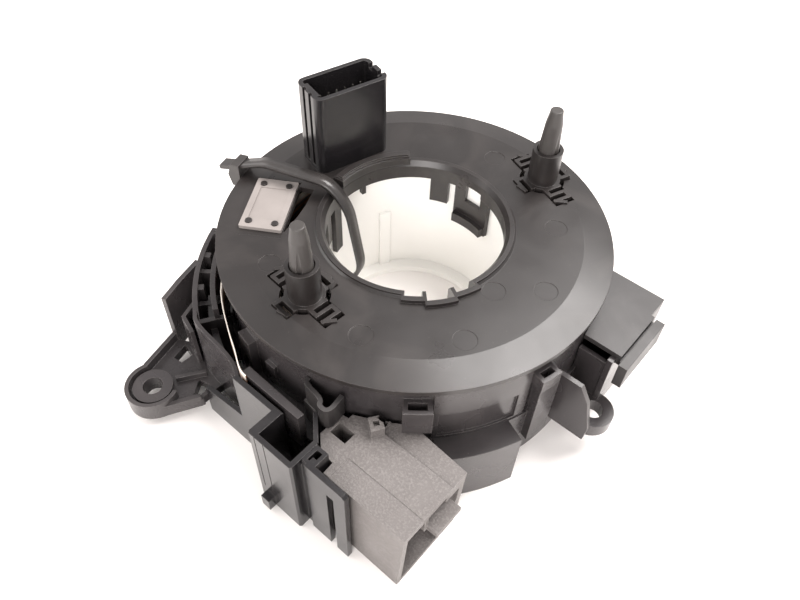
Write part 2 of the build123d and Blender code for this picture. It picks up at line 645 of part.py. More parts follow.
# Ribbon end holder: the U-shaped clip that carries the joined ribbon end
holder_bottom = drum_top + 0.02
with BuildPart() as ribbon_end_holder:
    prism([(10.6, -52.8), (10.6, -51.4), (19.0, -49.4), (19.0, -55.6), (16.8, -55.6), (16.8, -51.8)], holder_bottom, 35.0)
    prism([(10.6, -55.6), (10.6, -52.4), (11.9, -52.4), (11.9, -55.6)], holder_bottom, 33.0)
    block((10.6, 19.0), (-55.9, -51.6), (holder_bottom, holder_bottom + 1.4))
    ring(0, drum_radius + seat_gap, -1, 60, Mode.SUBTRACT)
finish(ribbon_end_holder, "ribbon_end_holder")

# Socket: the large plug housing that opens to +X
mouth_bottom = 1.6
mouth_y = (socket_y[0] + socket_wall, socket_step_y - socket_wall)
with BuildPart() as connector_socket:
    socket_points = [(19.6, -56.2), (19.6, -49.3), (21.7, -48.5), (21.7, -42.9), (27.3, -42.0), (27.7, -40.9)]
    socket_points += [(31.7, -39.6), (socket_x[1], -41.3), (socket_x[1], -61.3), (35.6, -62.9), (27.2, -62.3)]
    prism([*socket_points, (27.0, -59.6), (22.8, -59.2)], 0, socket_top)
    # Step down along the side next to the housing
    block((29.8, 60), (socket_step_y, -38), (socket_top - socket_step_drop, 40), Mode.SUBTRACT)
    # Mouth
    block((socket_x[1] - 21, socket_x[1] + 5), (-60.2, -48.0), (mouth_bottom, socket_top - 2.4), Mode.SUBTRACT)
    block((socket_x[1] - 16, socket_x[1] + 5), (-48.6, -43.0), (mouth_bottom + 4, socket_top - 5.0), Mode.SUBTRACT)
    # Key opening and tab loop in the top
    block((21.2, 25.7), (-54.7, -51.1), (6, 40), Mode.SUBTRACT)
    block((23.6, 25.9), (-46.8, -44.0), (10, 40), Mode.SUBTRACT)
    block((27.9, 29.6), (-45.4, -44.2), (socket_top - 4, 40), Mode.SUBTRACT)
    # Guide tongue in the mouth
    block((socket_x[1] - 10, socket_x[1] + 2.6), (-54.0, -45.4), (socket_top - 9.6, socket_top - 8.0))
    block((socket_x[1] - 10, socket_x[1]), (-54.8, -53.6), (socket_top - 9.6, socket_top - 2.0))
    ring(0, drum_radius + seat_gap, -1, 60, Mode.SUBTRACT)
finish(connector_socket, "connector_socket")

# Socket terminals: the blades at the back of the socket
with BuildPart() as socket_terminals:
    for y in (-58.0, -55.4, -52.8, -50.2):
        for z in (7.0, 12.5):
            block((socket_x[1] - 21, socket_x[1] - 8.0), (y - 0.32, y + 0.32), (z - 0.32, z + 0.32))
finish(socket_terminals, "socket_terminals")

# Cable tie: the strap looped through the bore and round the outside, and its head
tie_plane = Plane(origin=(0, 0, 0), x_dir=(*at(1, tie_angle), 0), z_dir=(*at(1, tie_angle - 90), 0))
tie_low = tie_thickness / 2 + 0.2
tie_path = [(54.4, 38.0), (54.2, 20.0), (53.9, 6.0), (52.2, 1.3), (48.0, tie_low), (28.0, tie_low), (25.0, 1.3)]
tie_path += [(23.2, 3.6), (20.4, 8.0), (17.3, 14.5), (16.4, 21.0), (17.0, 28.0), (18.4, 34.3), (20.9, 40.8)]
tie_path += [(23.9, 44.9), (28.4, 46.8)]
tie_path += [(37.5, 47.0), (50.0, 45.3), (53.4, 43.6), (61.0, 41.6)]


def beside(points, shift):
    """The points of a line moved sideways, to the left of the way it runs."""
    moved = []
    for index, (x, y) in enumerate(points):
        before = points[max(index - 1, 0)]
        after = points[min(index + 1, len(points) - 1)]
        run = ((after[0] - before[0]) ** 2 + (after[1] - before[1]) ** 2) ** 0.5
        moved.append((x - (after[1] - before[1]) / run * shift, y + (after[0] - before[0]) / run * shift))
    return moved


with BuildPart() as cable_tie:
    with BuildSketch(tie_plane) as tie_profile:
        with BuildLine() as tie_line:
            tie_inside = Spline(*beside(tie_path, tie_thickness / 2))
            tie_outside = Spline(*beside(tie_path, -tie_thickness / 2))
            Line(tie_inside @ 0, tie_outside @ 0)
            Line(tie_inside @ 1, tie_outside @ 1)
        make_face()
    extrude(amount=tie_width / 2, both=True)
    # Locking head, with the tail standing out of it
    with BuildSketch(tie_plane) as head_profile:
        with BuildLine() as head_line:
            Polyline((52.6, 38.0), (52.9, 45.6), (56.6, 44.6), (57.4, 40.6), (56.0, 37.6), close=True)
        make_face(head_line.edges())
    extrude(head_profile.sketch, amount=tie_width / 2 + 0.9, both=True)
finish(cable_tie, "cable_tie")
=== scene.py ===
from math import atan2, cos, degrees, radians, sin

import bmesh
import bpy
from mathutils import Matrix, Vector


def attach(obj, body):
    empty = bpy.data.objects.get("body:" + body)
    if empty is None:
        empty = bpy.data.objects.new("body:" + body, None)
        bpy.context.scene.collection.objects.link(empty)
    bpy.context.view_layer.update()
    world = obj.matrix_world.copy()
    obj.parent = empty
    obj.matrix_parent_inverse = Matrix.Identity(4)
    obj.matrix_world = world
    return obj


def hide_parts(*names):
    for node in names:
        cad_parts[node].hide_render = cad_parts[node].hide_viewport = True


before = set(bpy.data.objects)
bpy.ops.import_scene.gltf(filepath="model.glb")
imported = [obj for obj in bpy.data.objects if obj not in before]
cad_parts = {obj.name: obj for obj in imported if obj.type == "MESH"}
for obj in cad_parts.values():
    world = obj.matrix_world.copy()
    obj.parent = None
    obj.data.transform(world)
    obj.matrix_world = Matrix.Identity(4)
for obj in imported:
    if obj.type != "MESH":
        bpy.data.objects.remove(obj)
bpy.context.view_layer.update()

# Camera. The photograph was taken from in front of the unit and above it, with the two
# sockets nearest. Its place and turn were fitted to the disc's rim, the bore and the upright
# edges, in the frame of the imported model.
camera_place = Vector((0.08658, -0.11094, 0.17551))
camera_right = Vector((0.75374, 0.65665, 0.02625))
camera_up = Vector((-0.51256, 0.56241, 0.64883))
camera_back = camera_right.cross(camera_up)
photo_camera = bpy.data.objects.new("photo_camera", bpy.data.cameras.new("photo_camera"))
photo_camera.data.lens = 32.625
photo_camera.data.sensor_width = 36.0
turn = Matrix((camera_right, camera_up, camera_back)).transposed().to_4x4()
photo_camera.matrix_world = Matrix.Translation(camera_place) @ turn
bpy.context.scene.collection.objects.link(photo_camera)
bpy.context.scene.camera = photo_camera

# Table and light. The unit lies on a plain white table in a pale warm room, under a large soft
# light high behind it, with weaker ones at the left and in front. They are strong enough to
# make the table as white as in the photo.
table_mesh = bpy.data.meshes.new("white_table")
table_half = 1.6
table_corners = [(-table_half, -table_half, 0), (table_half, -table_half, 0)]
table_corners += [(table_half, table_half, 0), (-table_half, table_half, 0)]
table_mesh.from_pydata(table_corners, [], [(0, 1, 2, 3)])
white_table = bpy.data.objects.new("white_table", table_mesh)
bpy.context.scene.collection.objects.link(white_table)
table_finish = bpy.data.materials.new("table_white")
table_finish.use_nodes = True
table_shader = table_finish.node_tree.nodes["Principled BSDF"]
table_shader.inputs["Roughness"].default_value = 0.6
table_place = table_finish.node_tree.nodes.new("ShaderNodeTexCoord")
table_cloud = table_finish.node_tree.nodes.new("ShaderNodeTexNoise")
table_cloud.inputs["Scale"].default_value = 3.0
table_tone = table_finish.node_tree.nodes.new("ShaderNodeValToRGB")
table_tone.color_ramp.elements[0].color = (0.93, 0.90, 0.88, 1)
table_tone.color_ramp.elements[1].color = (0.95, 0.925, 0.905, 1)
table_finish.node_tree.links.new(table_place.outputs["Object"], table_cloud.inputs["Vector"])
table_finish.node_tree.links.new(table_cloud.outputs["Fac"], table_tone.inputs["Fac"])
table_finish.node_tree.links.new(table_tone.outputs["Color"], table_shader.inputs["Base Color"])
white_table.data.materials.append(table_finish)
light_target = Vector((0, 0, 0.02))
for light_name, place, size, power in (
    ("ceiling_light", (0.14, 0.46, 0.87), 0.62, 16),
    ("window_light", (-0.7, -0.45, 0.6), 0.7, 5),
    ("front_light", (0.45, -0.80, 0.42), 0.6, 9),
):
    lamp = bpy.data.objects.new(light_name, bpy.data.lights.new(light_name, "AREA"))
    lamp.data.size = size
    lamp.data.energy = power
    lamp.data.color = (1.0, 0.965, 0.945)
    lamp.location = place
    aim = light_target - Vector(place)
    lamp.rotation_euler = aim.to_track_quat("-Z", "Y").to_euler()
    bpy.context.scene.collection.objects.link(lamp)
studio = bpy.data.worlds.new("studio")
studio.use_nodes = True
studio.node_tree.nodes["Background"].inputs["Color"].default_value = (1.0, 0.965, 0.955, 1)
studio.node_tree.nodes["Background"].inputs["Strength"].default_value = 0.85
bpy.context.scene.world = studio
bpy.context.scene.view_settings.view_transform = "Standard"

# Base housing. One glossy black plastic moulding: the drum with its floor, the skirts, the walls
# at the left and right, and two screw lugs. It is joined here from those walls, in millimetres.
arc_spacing, ring_spacing = 3.0, 2.5
millimetre, weld_distance, sliver_length = 0.001, 2e-6, 1e-6
smooth_limit = radians(24)


def at(radius, angle):
    """Point at a radius and an angle about the steering axis."""
    return (radius * cos(radians(angle)), radius * sin(radians(angle)))


def arc_line(radius, start, end, spacing=arc_spacing):
    """Points along an arc about the steering axis."""
    steps = max(2, round(abs(end - start) / spacing))
    return [at(radius, start + (end - start) * step / steps) for step in range(steps + 1)]


def shell_of(outline, bottom, top):
    """Closed shell over a plan outline."""
    work = bmesh.new()
    low = [work.verts.new((x, y, bottom)) for x, y in outline]
    high = [work.verts.new((x, y, top)) for x, y in outline]
    work.faces.new(low)
    work.faces.new(high)
    for index, corner in enumerate(low):
        following = (index + 1) % len(low)
        work.faces.new((corner, low[following], high[following], high[index]))
    bmesh.ops.recalc_face_normals(work, faces=work.faces)
    mesh = bpy.data.meshes.new("shell")
    work.to_mesh(mesh)
    work.free()
    return mesh


class Moulding:
    """A moulded piece in work: closed shells in millimetres, joined and cut in turn."""

    def __init__(self):
        self.mesh = None

    def combine(self, tool_mesh, operation):
        if self.mesh is None:
            self.mesh = tool_mesh
            return
        body = bpy.data.objects.new("moulding", self.mesh)
        tool = bpy.data.objects.new("tool", tool_mesh)
        for item in (body, tool):
            bpy.context.scene.collection.objects.link(item)
        step = body.modifiers.new("step", "BOOLEAN")
        step.operation = operation
        step.solver = "MANIFOLD"
        step.object = tool
        now = bpy.context.evaluated_depsgraph_get()
        result = bpy.data.meshes.new_from_object(body.evaluated_get(now))
        for item in (body, tool):
            old = item.data
            bpy.data.objects.remove(item)
            bpy.data.meshes.remove(old)
        self.mesh = result

    def prism(self, outline, bottom, top, operation="UNION"):
        self.combine(shell_of(outline, bottom, top), operation)

    def arc_wall(self, inner, outer, start, end, bottom, top, operation="UNION"):
        outline = arc_line(outer, start, end) + arc_line(inner, end, start)
        self.prism(outline, bottom, top, operation)

    def ring(self, inner, outer, bottom, top, operation="UNION"):
        if not inner:
            self.prism(arc_line(outer, 0, 360 - arc_spacing), bottom, top, operation)
            return
        work = bmesh.new()
        loops = []
        for radius, height in ((outer, bottom), (outer, top), (inner, top), (inner, bottom)):
            circle = arc_line(radius, 0, 360 - ring_spacing, ring_spacing)
            loops.append([work.verts.new((x, y, height)) for x, y in circle])
        for side, loop in enumerate(loops):
            after = loops[(side + 1) % len(loops)]
            for index, corner in enumerate(loop):
                following = (index + 1) % len(loop)
                work.faces.new((corner, loop[following], after[following], after[index]))
        bmesh.ops.recalc_face_normals(work, faces=work.faces)
        mesh = bpy.data.meshes.new("ring")
        work.to_mesh(mesh)
        work.free()
        self.combine(mesh, operation)

    def block(self, x, y, z, operation="UNION"):
        self.prism([(x[0], y[0]), (x[1], y[0]), (x[1], y[1]), (x[0], y[1])], *z, operation)

    def round_post(self, place, radius, bottom, top, operation="UNION"):
        outline = [(place[0] + x, place[1] + y) for x, y in arc_line(radius, 0, 350, 10)]
        self.prism(outline, bottom, top, operation)

    def wall(self, line, thickness, bottom, top, operation="UNION"):
        """Upright wall along a plan line, with its thickness to both sides."""
        left, right = [], []
        for index, (x, y) in enumerate(line):
            before, after = line[max(index - 1, 0)], line[min(index + 1, len(line) - 1)]
            square = Vector((before[1] - after[1], after[0] - before[0])).normalized()
            across = square * thickness / 2
            left.append((x + across.x, y + across.y))
            right.append((x - across.x, y - across.y))
        self.prism(left + right[::-1], bottom, top, operation)

    def side_plate(self, outline, y, operation="UNION"):
        """Plate between two values of Y, with its outline drawn in X and Z."""
        mesh = shell_of(outline, y[0], y[1])
        mesh.transform(Matrix(((1, 0, 0, 0), (0, 0, 1, 0), (0, 1, 0, 0), (0, 0, 0, 1))))
        mesh.flip_normals()
        self.combine(mesh, operation)

    def made(self, name, body, node, finish):
        """The finished piece in metres, which takes the place of its node if it has one."""
        self.mesh.transform(Matrix.Scale(millimetre, 4))
        work = bmesh.new()
        work.from_mesh(self.mesh)
        bmesh.ops.remove_doubles(work, verts=work.verts, dist=weld_distance)
        bmesh.ops.dissolve_degenerate(work, edges=work.edges, dist=sliver_length)
        for face in work.faces:
            face.smooth = True
        for edge in work.edges:
            edge.smooth = edge.is_manifold and edge.calc_face_angle(0) < smooth_limit
        work.to_mesh(self.mesh)
        work.free()
        piece = bpy.data.objects.new(name, self.mesh)
        bpy.context.scene.collection.objects.link(piece)
        piece.data.materials.clear()
        piece.data.materials.append(finish)
        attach(piece, body)
        if node:
            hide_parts(node)
        return piece


def smoothed(points, rounds=2):
    """A plan line with its corners cut off, a few times over."""
    for _ in range(rounds):
        cut = [points[0]]
        for (x0, y0), (x1, y1) in zip(points, points[1:]):
            cut.append((x0 * 0.75 + x1 * 0.25, y0 * 0.75 + y1 * 0.25))
            cut.append((x0 * 0.25 + x1 * 0.75, y0 * 0.25 + y1 * 0.75))
        points = cut + [points[-1]]
    return points


def group_of(name, inputs, outputs):
    """Empty shader node group with named inputs and outputs."""
    group = bpy.data.node_groups.new(name, "ShaderNodeTree")
    for label, kind, value in inputs:
        socket = group.interface.new_socket(label, in_out="INPUT", socket_type="NodeSocket" + kind)
        if value is not None:
            socket.default_value = value
    for label, kind in outputs:
        group.interface.new_socket(label, in_out="OUTPUT", socket_type="NodeSocket" + kind)
    return group, group.nodes.new("NodeGroupInput"), group.nodes.new("NodeGroupOutput")


# Grain of a mould's surface, fine and coarse, and the cloudy tone under it
mould_grain, grain_in, grain_out = group_of(
    "mould_grain",
    [("Vector", "Vector", None), ("Fine", "Float", 2500.0), ("Cloud", "Float", 90.0)],
    [("Height", "Float"), ("Tone", "Float")],
)
fine_noise = mould_grain.nodes.new("ShaderNodeTexNoise")
fine_noise.inputs["Detail"].default_value = 3.0
fine_noise.inputs["Roughness"].default_value = 0.65
cloud_noise = mould_grain.nodes.new("ShaderNodeTexNoise")
cloud_noise.inputs["Detail"].default_value = 4.0
mould_grain.links.new(grain_in.outputs["Vector"], fine_noise.inputs["Vector"])
mould_grain.links.new(grain_in.outputs["Fine"], fine_noise.inputs["Scale"])
mould_grain.links.new(grain_in.outputs["Vector"], cloud_noise.inputs["Vector"])
mould_grain.links.new(grain_in.outputs["Cloud"], cloud_noise.inputs["Scale"])
mould_grain.links.new(fine_noise.outputs["Fac"], grain_out.inputs["Height"])
mould_grain.links.new(cloud_noise.outputs["Fac"], grain_out.inputs["Tone"])

# Rounded edges, as every moulded edge has, with a mask of them for wear and a painted highlight
soft_edge, edge_in, edge_out = group_of(
    "soft_edge", [("Radius", "Float", 0.0002)], [("Normal", "Vector"), ("Edge", "Float")]
)
edge_round = soft_edge.nodes.new("ShaderNodeBevel")
edge_round.samples = 4
edge_true = soft_edge.nodes.new("ShaderNodeNewGeometry")
edge_dot = soft_edge.nodes.new("ShaderNodeVectorMath")
edge_dot.operation = "DOT_PRODUCT"
# Edge mask: the lighter colour it brings is wear and a painted highlight
edge_highlight_and_wear_ramp = soft_edge.nodes.new("ShaderNodeMapRange")
edge_highlight_and_wear_ramp.inputs["From Min"].default_value = 0.995
edge_highlight_and_wear_ramp.inputs["From Max"].default_value = 0.80
soft_edge.links.new(edge_in.outputs["Radius"], edge_round.inputs["Radius"])
soft_edge.links.new(edge_round.outputs["Normal"], edge_dot.inputs[0])
soft_edge.links.new(edge_true.outputs["Normal"], edge_dot.inputs[1])
soft_edge.links.new(edge_dot.outputs["Value"], edge_highlight_and_wear_ramp.inputs["Value"])
soft_edge.links.new(edge_round.outputs["Normal"], edge_out.inputs["Normal"])
soft_edge.links.new(edge_highlight_and_wear_ramp.outputs["Result"], edge_out.inputs["Edge"])

# Light dust and finger marks left by handling
hand_marks, marks_in, marks_out = group_of(
    "hand_marks", [("Vector", "Vector", None), ("Amount", "Float", 0.3)], [("Mask", "Float")]
)
smear = hand_marks.nodes.new("ShaderNodeTexNoise")
smear.inputs["Scale"].default_value = 38.0
smear.inputs["Detail"].default_value = 6.0
smear.inputs["Distortion"].default_value = 1.6
specks = hand_marks.nodes.new("ShaderNodeTexVoronoi")
specks.inputs["Scale"].default_value = 420.0
speck_size = hand_marks.nodes.new("ShaderNodeMapRange")
speck_size.inputs["From Min"].default_value = 0.10
speck_size.inputs["From Max"].default_value = 0.04
smear_size = hand_marks.nodes.new("ShaderNodeMapRange")
smear_size.inputs["From Min"].default_value = 0.48
smear_size.inputs["From Max"].default_value = 0.75
marks_sum = hand_marks.nodes.new("ShaderNodeMath")
marks_sum.operation = "MAXIMUM"
marks_scale = hand_marks.nodes.new("ShaderNodeMath")
marks_scale.operation = "MULTIPLY"
hand_marks.links.new(marks_in.outputs["Vector"], smear.inputs["Vector"])
hand_marks.links.new(marks_in.outputs["Vector"], specks.inputs["Vector"])
hand_marks.links.new(specks.outputs["Distance"], speck_size.inputs["Value"])
hand_marks.links.new(smear.outputs["Fac"], smear_size.inputs["Value"])
hand_marks.links.new(speck_size.outputs["Result"], marks_sum.inputs[0])
hand_marks.links.new(smear_size.outputs["Result"], marks_sum.inputs[1])
hand_marks.links.new(marks_sum.outputs["Value"], marks_scale.inputs[0])
hand_marks.links.new(marks_in.outputs["Amount"], marks_scale.inputs[1])
hand_marks.links.new(marks_scale.outputs["Value"], marks_out.inputs["Mask"])


def moulded_plastic(
    name, colour, light, rough, fine=2500.0, depth=0.000012, marks=0.3, edge=0.0002, speckle=0.0
):
    """Moulded plastic: base and lighter colour, roughness between two values, grain, and edges
    lightened as wear and painted highlight.
    """
    plastic = bpy.data.materials.new(name)
    plastic.use_nodes = True
    nodes, links = plastic.node_tree.nodes, plastic.node_tree.links
    shader = nodes["Principled BSDF"]
    place = nodes.new("ShaderNodeTexCoord")
    grain = nodes.new("ShaderNodeGroup")
    grain.node_tree = mould_grain
    grain.inputs["Fine"].default_value = fine
    edges = nodes.new("ShaderNodeGroup")
    edges.node_tree = soft_edge
    edges.inputs["Radius"].default_value = edge
    handled = nodes.new("ShaderNodeGroup")
    handled.node_tree = hand_marks
    handled.inputs["Amount"].default_value = marks
    for effect in (grain, handled):
        links.new(place.outputs["Object"], effect.inputs["Vector"])
    # Lighter colour on the edges is a painted highlight as well as wear; the hand marks add to it
    edge_highlight_wear_and_marks = nodes.new("ShaderNodeMath")
    edge_highlight_wear_and_marks.operation = "MAXIMUM"
    links.new(edges.outputs["Edge"], edge_highlight_wear_and_marks.inputs[0])
    links.new(handled.outputs["Mask"], edge_highlight_wear_and_marks.inputs[1])
    tint = nodes.new("ShaderNodeMix")
    tint.data_type = "RGBA"
    tint.inputs["A"].default_value = (*colour, 1)
    tint.inputs["B"].default_value = (*light, 1)
    speckled = nodes.new("ShaderNodeMapRange")
    speckled.inputs["From Min"].default_value = 0.47
    speckled.inputs["From Max"].default_value = 0.62
    speckled.inputs["To Max"].default_value = speckle
    links.new(grain.outputs["Height"], speckled.inputs["Value"])
    highlight_wear_marks_and_speckle = nodes.new("ShaderNodeMath")
    highlight_wear_marks_and_speckle.operation = "MAXIMUM"
    links.new(edge_highlight_wear_and_marks.outputs["Value"], highlight_wear_marks_and_speckle.inputs[0])
    links.new(speckled.outputs["Result"], highlight_wear_marks_and_speckle.inputs[1])
    links.new(highlight_wear_marks_and_speckle.outputs["Value"], tint.inputs["Factor"])
    links.new(tint.outputs["Result"], shader.inputs["Base Color"])
    gloss = nodes.new("ShaderNodeMapRange")
    gloss.inputs["From Min"].default_value = 0.3
    gloss.inputs["From Max"].default_value = 0.7
    gloss.inputs["To Min"].default_value = rough[0]
    gloss.inputs["To Max"].default_value = rough[1]
    links.new(grain.outputs["Tone"], gloss.inputs["Value"])
    links.new(gloss.outputs["Result"], shader.inputs["Roughness"])
    bump = nodes.new("ShaderNodeBump")
    bump.inputs["Distance"].default_value = depth
    links.new(grain.outputs["Height"], bump.inputs["Height"])
    links.new(edges.outputs["Normal"], bump.inputs["Normal"])
    links.new(bump.outputs["Normal"], shader.inputs["Normal"])
    return plastic


base_black = moulded_plastic(
    "base_black", (0.034, 0.030, 0.031), (0.12, 0.108, 0.104), (0.20, 0.32), marks=0.22
)

drum_bore, drum_inner, drum_outer, drum_top = 27.5, 50.2, 52.0, 19.6
floor_bottom, floor_top = 2.3, 4.3
skirt, skirt_flange, post_angle = (56.2, 58.0), 1.6, 1.6
lug_bottom, lug_top, arm_top = 3.0, 8.2, 6.0
left_lug, right_lug, screw_radius, screw_room = (-33.6, -69.0), (61.0, 2.2), 2.7, 20
box_floor, box_wall, box_top, channel_floor = 8.8, 1.5, 29.5, 13.0
cut_low, cut_high = -1, 60
housing = Moulding()
housing.ring(drum_inner, drum_outer, 0, drum_top)
housing.ring(drum_bore, drum_outer, floor_bottom, floor_top)
# Skirts in front of the drum, with a post at each end and a flange along part of the top
for start, end in ((-43.9, -22.0), (-132.0, -71.8)):
    housing.arc_wall(*skirt, start, end, 0, drum_top)
    for angle in (start, end - post_angle):
        housing.arc_wall(51.5, 57.8, angle, angle + post_angle, 0, drum_top)
for start, end in ((-43.9, -22.0), (-104, -71.8)):
    housing.arc_wall(51, 58, start, end, drum_top - skirt_flange, drum_top)
housing.arc_wall(51.2, 54.2, -15.8, -8.8, box_floor, 31.5)
# Left side: two curved walls with ribs between them, and plain walls round the ribbon's outlet
housing.arc_wall(60.1, 61.5, 206, 241, lug_bottom, 24.0)
housing.arc_wall(54.8, 56.2, 214, 240, lug_bottom, 27.0)
for angle, top in ((206.5, 21.0), (221.0, 22.0), (231.0, 20.0), (239.6, 23.0)):
    housing.arc_wall(51, 60.5, angle - 0.7, angle + 0.7, lug_bottom, top)
for angle in (216, 228):
    housing.arc_wall(58.5, 60.5, angle - 0.9, angle + 0.9, 14.0, 23.4)
end_wall = [(-47.9, -38.6), (-45.6, -47.0), (-44.2, -51.0), (-43.2, -54.0)]
outlet_wall = [(-31.4, -52.0), (-28.0, -54.6), (-14.6, -55.4), (-9.0, -57.0), (-5.9, -59.3)]
pocket_wall = [(-39.4, -47.6), (-37.6, -52.6), (-31.6, -54.4)]
housing.wall(end_wall, 1.4, lug_bottom, 24.0)
housing.wall(smoothed(outlet_wall), 1.0, lug_bottom, 27.0)
housing.wall(pocket_wall, 1.1, lug_bottom, 20.0)
# Left lug on its arm, with two openings, raised rims and a cross rib
arm = [(-43.5, -54.0), (-40.6, -66.4), (-33.6, -69), (-27.6, -73.2)]
arm += [(-21.6, -62.0), (-21.3, -55.0), (-36.0, -50.0)]
housing.prism(arm, lug_bottom, arm_top)
housing.round_post(left_lug, 7.35, lug_bottom, arm_top)
for opening in (
    [(-39.8, -53.6), (-38.6, -58.6), (-35.6, -58.2), (-35.4, -54.6)],
    [(-27.4, -58.6), (-24.4, -63.0), (-23.0, -61.8), (-23.6, -57.6)],
):
    housing.prism(opening, 1, 7, "DIFFERENCE")
for line, thickness, top in (
    ([(-43.4, -54.0), (-40.2, -66.4)], 1.2, 9.0),
    ([(-28.2, -72.9), (-22.2, -62.0)], 1.2, 7.2),
    ([(-31.6, -63.0), (-27.0, -56.0)], 1.0, 7.8),
):
    housing.wall(line, thickness, lug_bottom, top)
rim_line = arc_line(7.38, 155, 385, 8) + arc_line(6.3, 385, 155, 8)
rim = [(left_lug[0] + x, left_lug[1] + y) for x, y in rim_line]
housing.prism(rim, lug_bottom, 9.0)
housing.round_post(left_lug, 5.4, lug_bottom, lug_top)
# Right lug at the foot of its open channel between two webs
housing.round_post(right_lug, 5.6, box_floor, channel_floor)
housing.block((50.6, 61.4), (-3.4, 7.8), (box_floor, channel_floor))
near_web = [(50.6, box_floor), (63.0, box_floor), (63.4, 14.0)]
near_web += [(61.0, 23.6), (58.2, 28.2), (50.9, 28.2)]
far_web = [(50.6, box_floor), (60.2, box_floor), (60.2, 24.4), (58.6, 27.4), (50.9, 27.4)]
housing.side_plate(near_web, (-5.0, -3.7))
housing.side_plate(far_web, (6.0, 7.3))
# Box under the cover, and the ledge wall behind the open terminal box
for line in ([(59.55, 5.6), (59.55, 32.0)], [(60.3, 31.3), (41.0, 31.3)]):
    housing.wall(line, box_wall, box_floor, box_top)
housing.block((41.0, 59.8), (6.0, 31.5), (box_floor, 10.8))
ledge = [(-4.8, -58.05), (14.6, -58.25), (14.8, -56.4), (-4.7, -55.8)]
housing.prism(ledge, drum_top - 1.0, 31.0)
# Screw holes, the room inside the drum and for the ring, and the seats of the terminal block
for place, top in ((left_lug, lug_top), (right_lug, channel_floor)):
    housing.round_post(place, screw_radius, 0, top + screw_room, "DIFFERENCE")
housing.ring(0, drum_inner, floor_top, cut_high, "DIFFERENCE")
housing.ring(0, 51.3, drum_top, cut_high, "DIFFERENCE")
housing.block((-5.52, 8.3), (-61.6, -58.9), (cut_low, cut_high), "DIFFERENCE")
housing.block((-22, -5.5), (-61.6, -59.18), (cut_low, 13.3), "DIFFERENCE")
# Passage for the cable tie under the drum's edge
housing.arc_wall(49, 53, 194, 200, cut_low, 3.0, "DIFFERENCE")
housing.made("base_moulding", "housing", "base_housing", base_black)

# Ribbon housing. A smooth black plastic ring on the base, which the ribbon lies in. It is moulded
# with a sunk panel in a raised frame at its front, and with loops that snap it down.
cassette = Moulding()
cassette_inner, cassette_outer, cassette_top, catch_top = 49.4, 51.0, 39.5, 36.2
ring_floor_top = drum_top + 1.5
cassette.arc_wall(cassette_inner, cassette_outer, 236, 574, drum_top, cassette_top)
cassette.arc_wall(cassette_inner, cassette_outer, 214, 236, drum_top, ring_floor_top)
cassette.ring(drum_bore, cassette_outer, drum_top, ring_floor_top)
for start, end, bottom, top in (
    (-44.6, -17.2, 30.0, cassette_top - 0.6),
    (-44.6, -17.2, drum_top, drum_top + 1.0),
    (-44.6, -43.0, drum_top, 31.0),
    (-20.4, -17.2, drum_top, 31.0),
):
    cassette.arc_wall(50.6, 51.7, start, end, bottom, top)
for start, end, bottom, reach in (
    (-52.5, -45.2, 28.1, 55.2),
    (-16.6, -10.4, 32.0, 54.9),
    (62, 67, 32.0, 54.9),
    (132, 137, 32.0, 54.9),
):
    cassette.arc_wall(50.6, reach, start, end, bottom, catch_top)
    inside = (52.1, reach - 1.1, start + 1.2, end - 1.2)
    cassette.arc_wall(*inside, bottom - 1, catch_top + 1, "DIFFERENCE")
cassette.arc_wall(50.6, 53.3, 255.5, 261.0, drum_top, 33.0)
cassette.arc_wall(50.6, 52.0, 266, 269.6, 27.0, 30.0)
cassette.made("ribbon_ring", "housing", "ribbon_housing", base_black)

# Terminal block. Glossy black plastic box, square tube, forked bracket and front walls, moulded
# in one piece and snapped to the front of the base.
connector_black = moulded_plastic(
    "connector_black", (0.011, 0.010, 0.011), (0.07, 0.064, 0.062), (0.16, 0.26), marks=0.2
)
block_top, front_wall, front_top, bracket_top, seat_gap = 30.6, (-60.6, -59.2), 30.4, 31.5, 0.02
terminals = Moulding()
box_outline = [(8.3, -67.5), (8.8, -68.0), (21.9, -68.0), (22.4, -67.5)]
box_outline += [(22.4, -59.6), (8.3, -59.6)]
terminals.prism(box_outline, 0, block_top)
terminals.block((10.7, 21.1), (-66.7, -58.6), (2.0, cut_high), "DIFFERENCE")
for x in (10.5, 13.5):
    terminals.block((x - 0.15, x + 0.15), (-69.0, -67.8), (7.0, 31.6), "DIFFERENCE")
terminals.block((11.0, 13.8), (-70.2, -67.5), (1.0, 5.4))
for width in ((-5.5, 8.5), (7.8, 10.7)):
    terminals.block(width, front_wall, (0, front_top))
terminals.side_plate([(-20.9, 0.0), (-5.4, 0.0), (-5.4, 13.3), (-20.9, 10.7)], front_wall)
terminals.wall([(15.95, -53.95), (21.95, -59.7)], 1.1, 0, front_top)
terminals.block((22.9, 26.4), (-64.9, -60.1), (0, bracket_top))
terminals.block((22.0, 23.2), (-64.9, -62.0), (0, 28.6))
terminals.block((23.8, 25.5), (-64.0, -61.0), (3, cut_high), "DIFFERENCE")
fork = [(24.4, 0), (30.7, 0), (30.7, 26.0), (32.8, 26.0), (32.8, 0), (36.4, 0)]
fork += [(36.4, 30.7), (35.6, bracket_top), (24.4, bracket_top)]
terminals.side_plate(fork, (-65.6, -64.2))
terminals.block((24.4, 26.4), (-64.7, -62.9), (0, bracket_top))
terminals.ring(0, 58.02, cut_low, drum_top + seat_gap, "DIFFERENCE")
terminals.made("terminal_box", "housing", "terminal_block", connector_black)

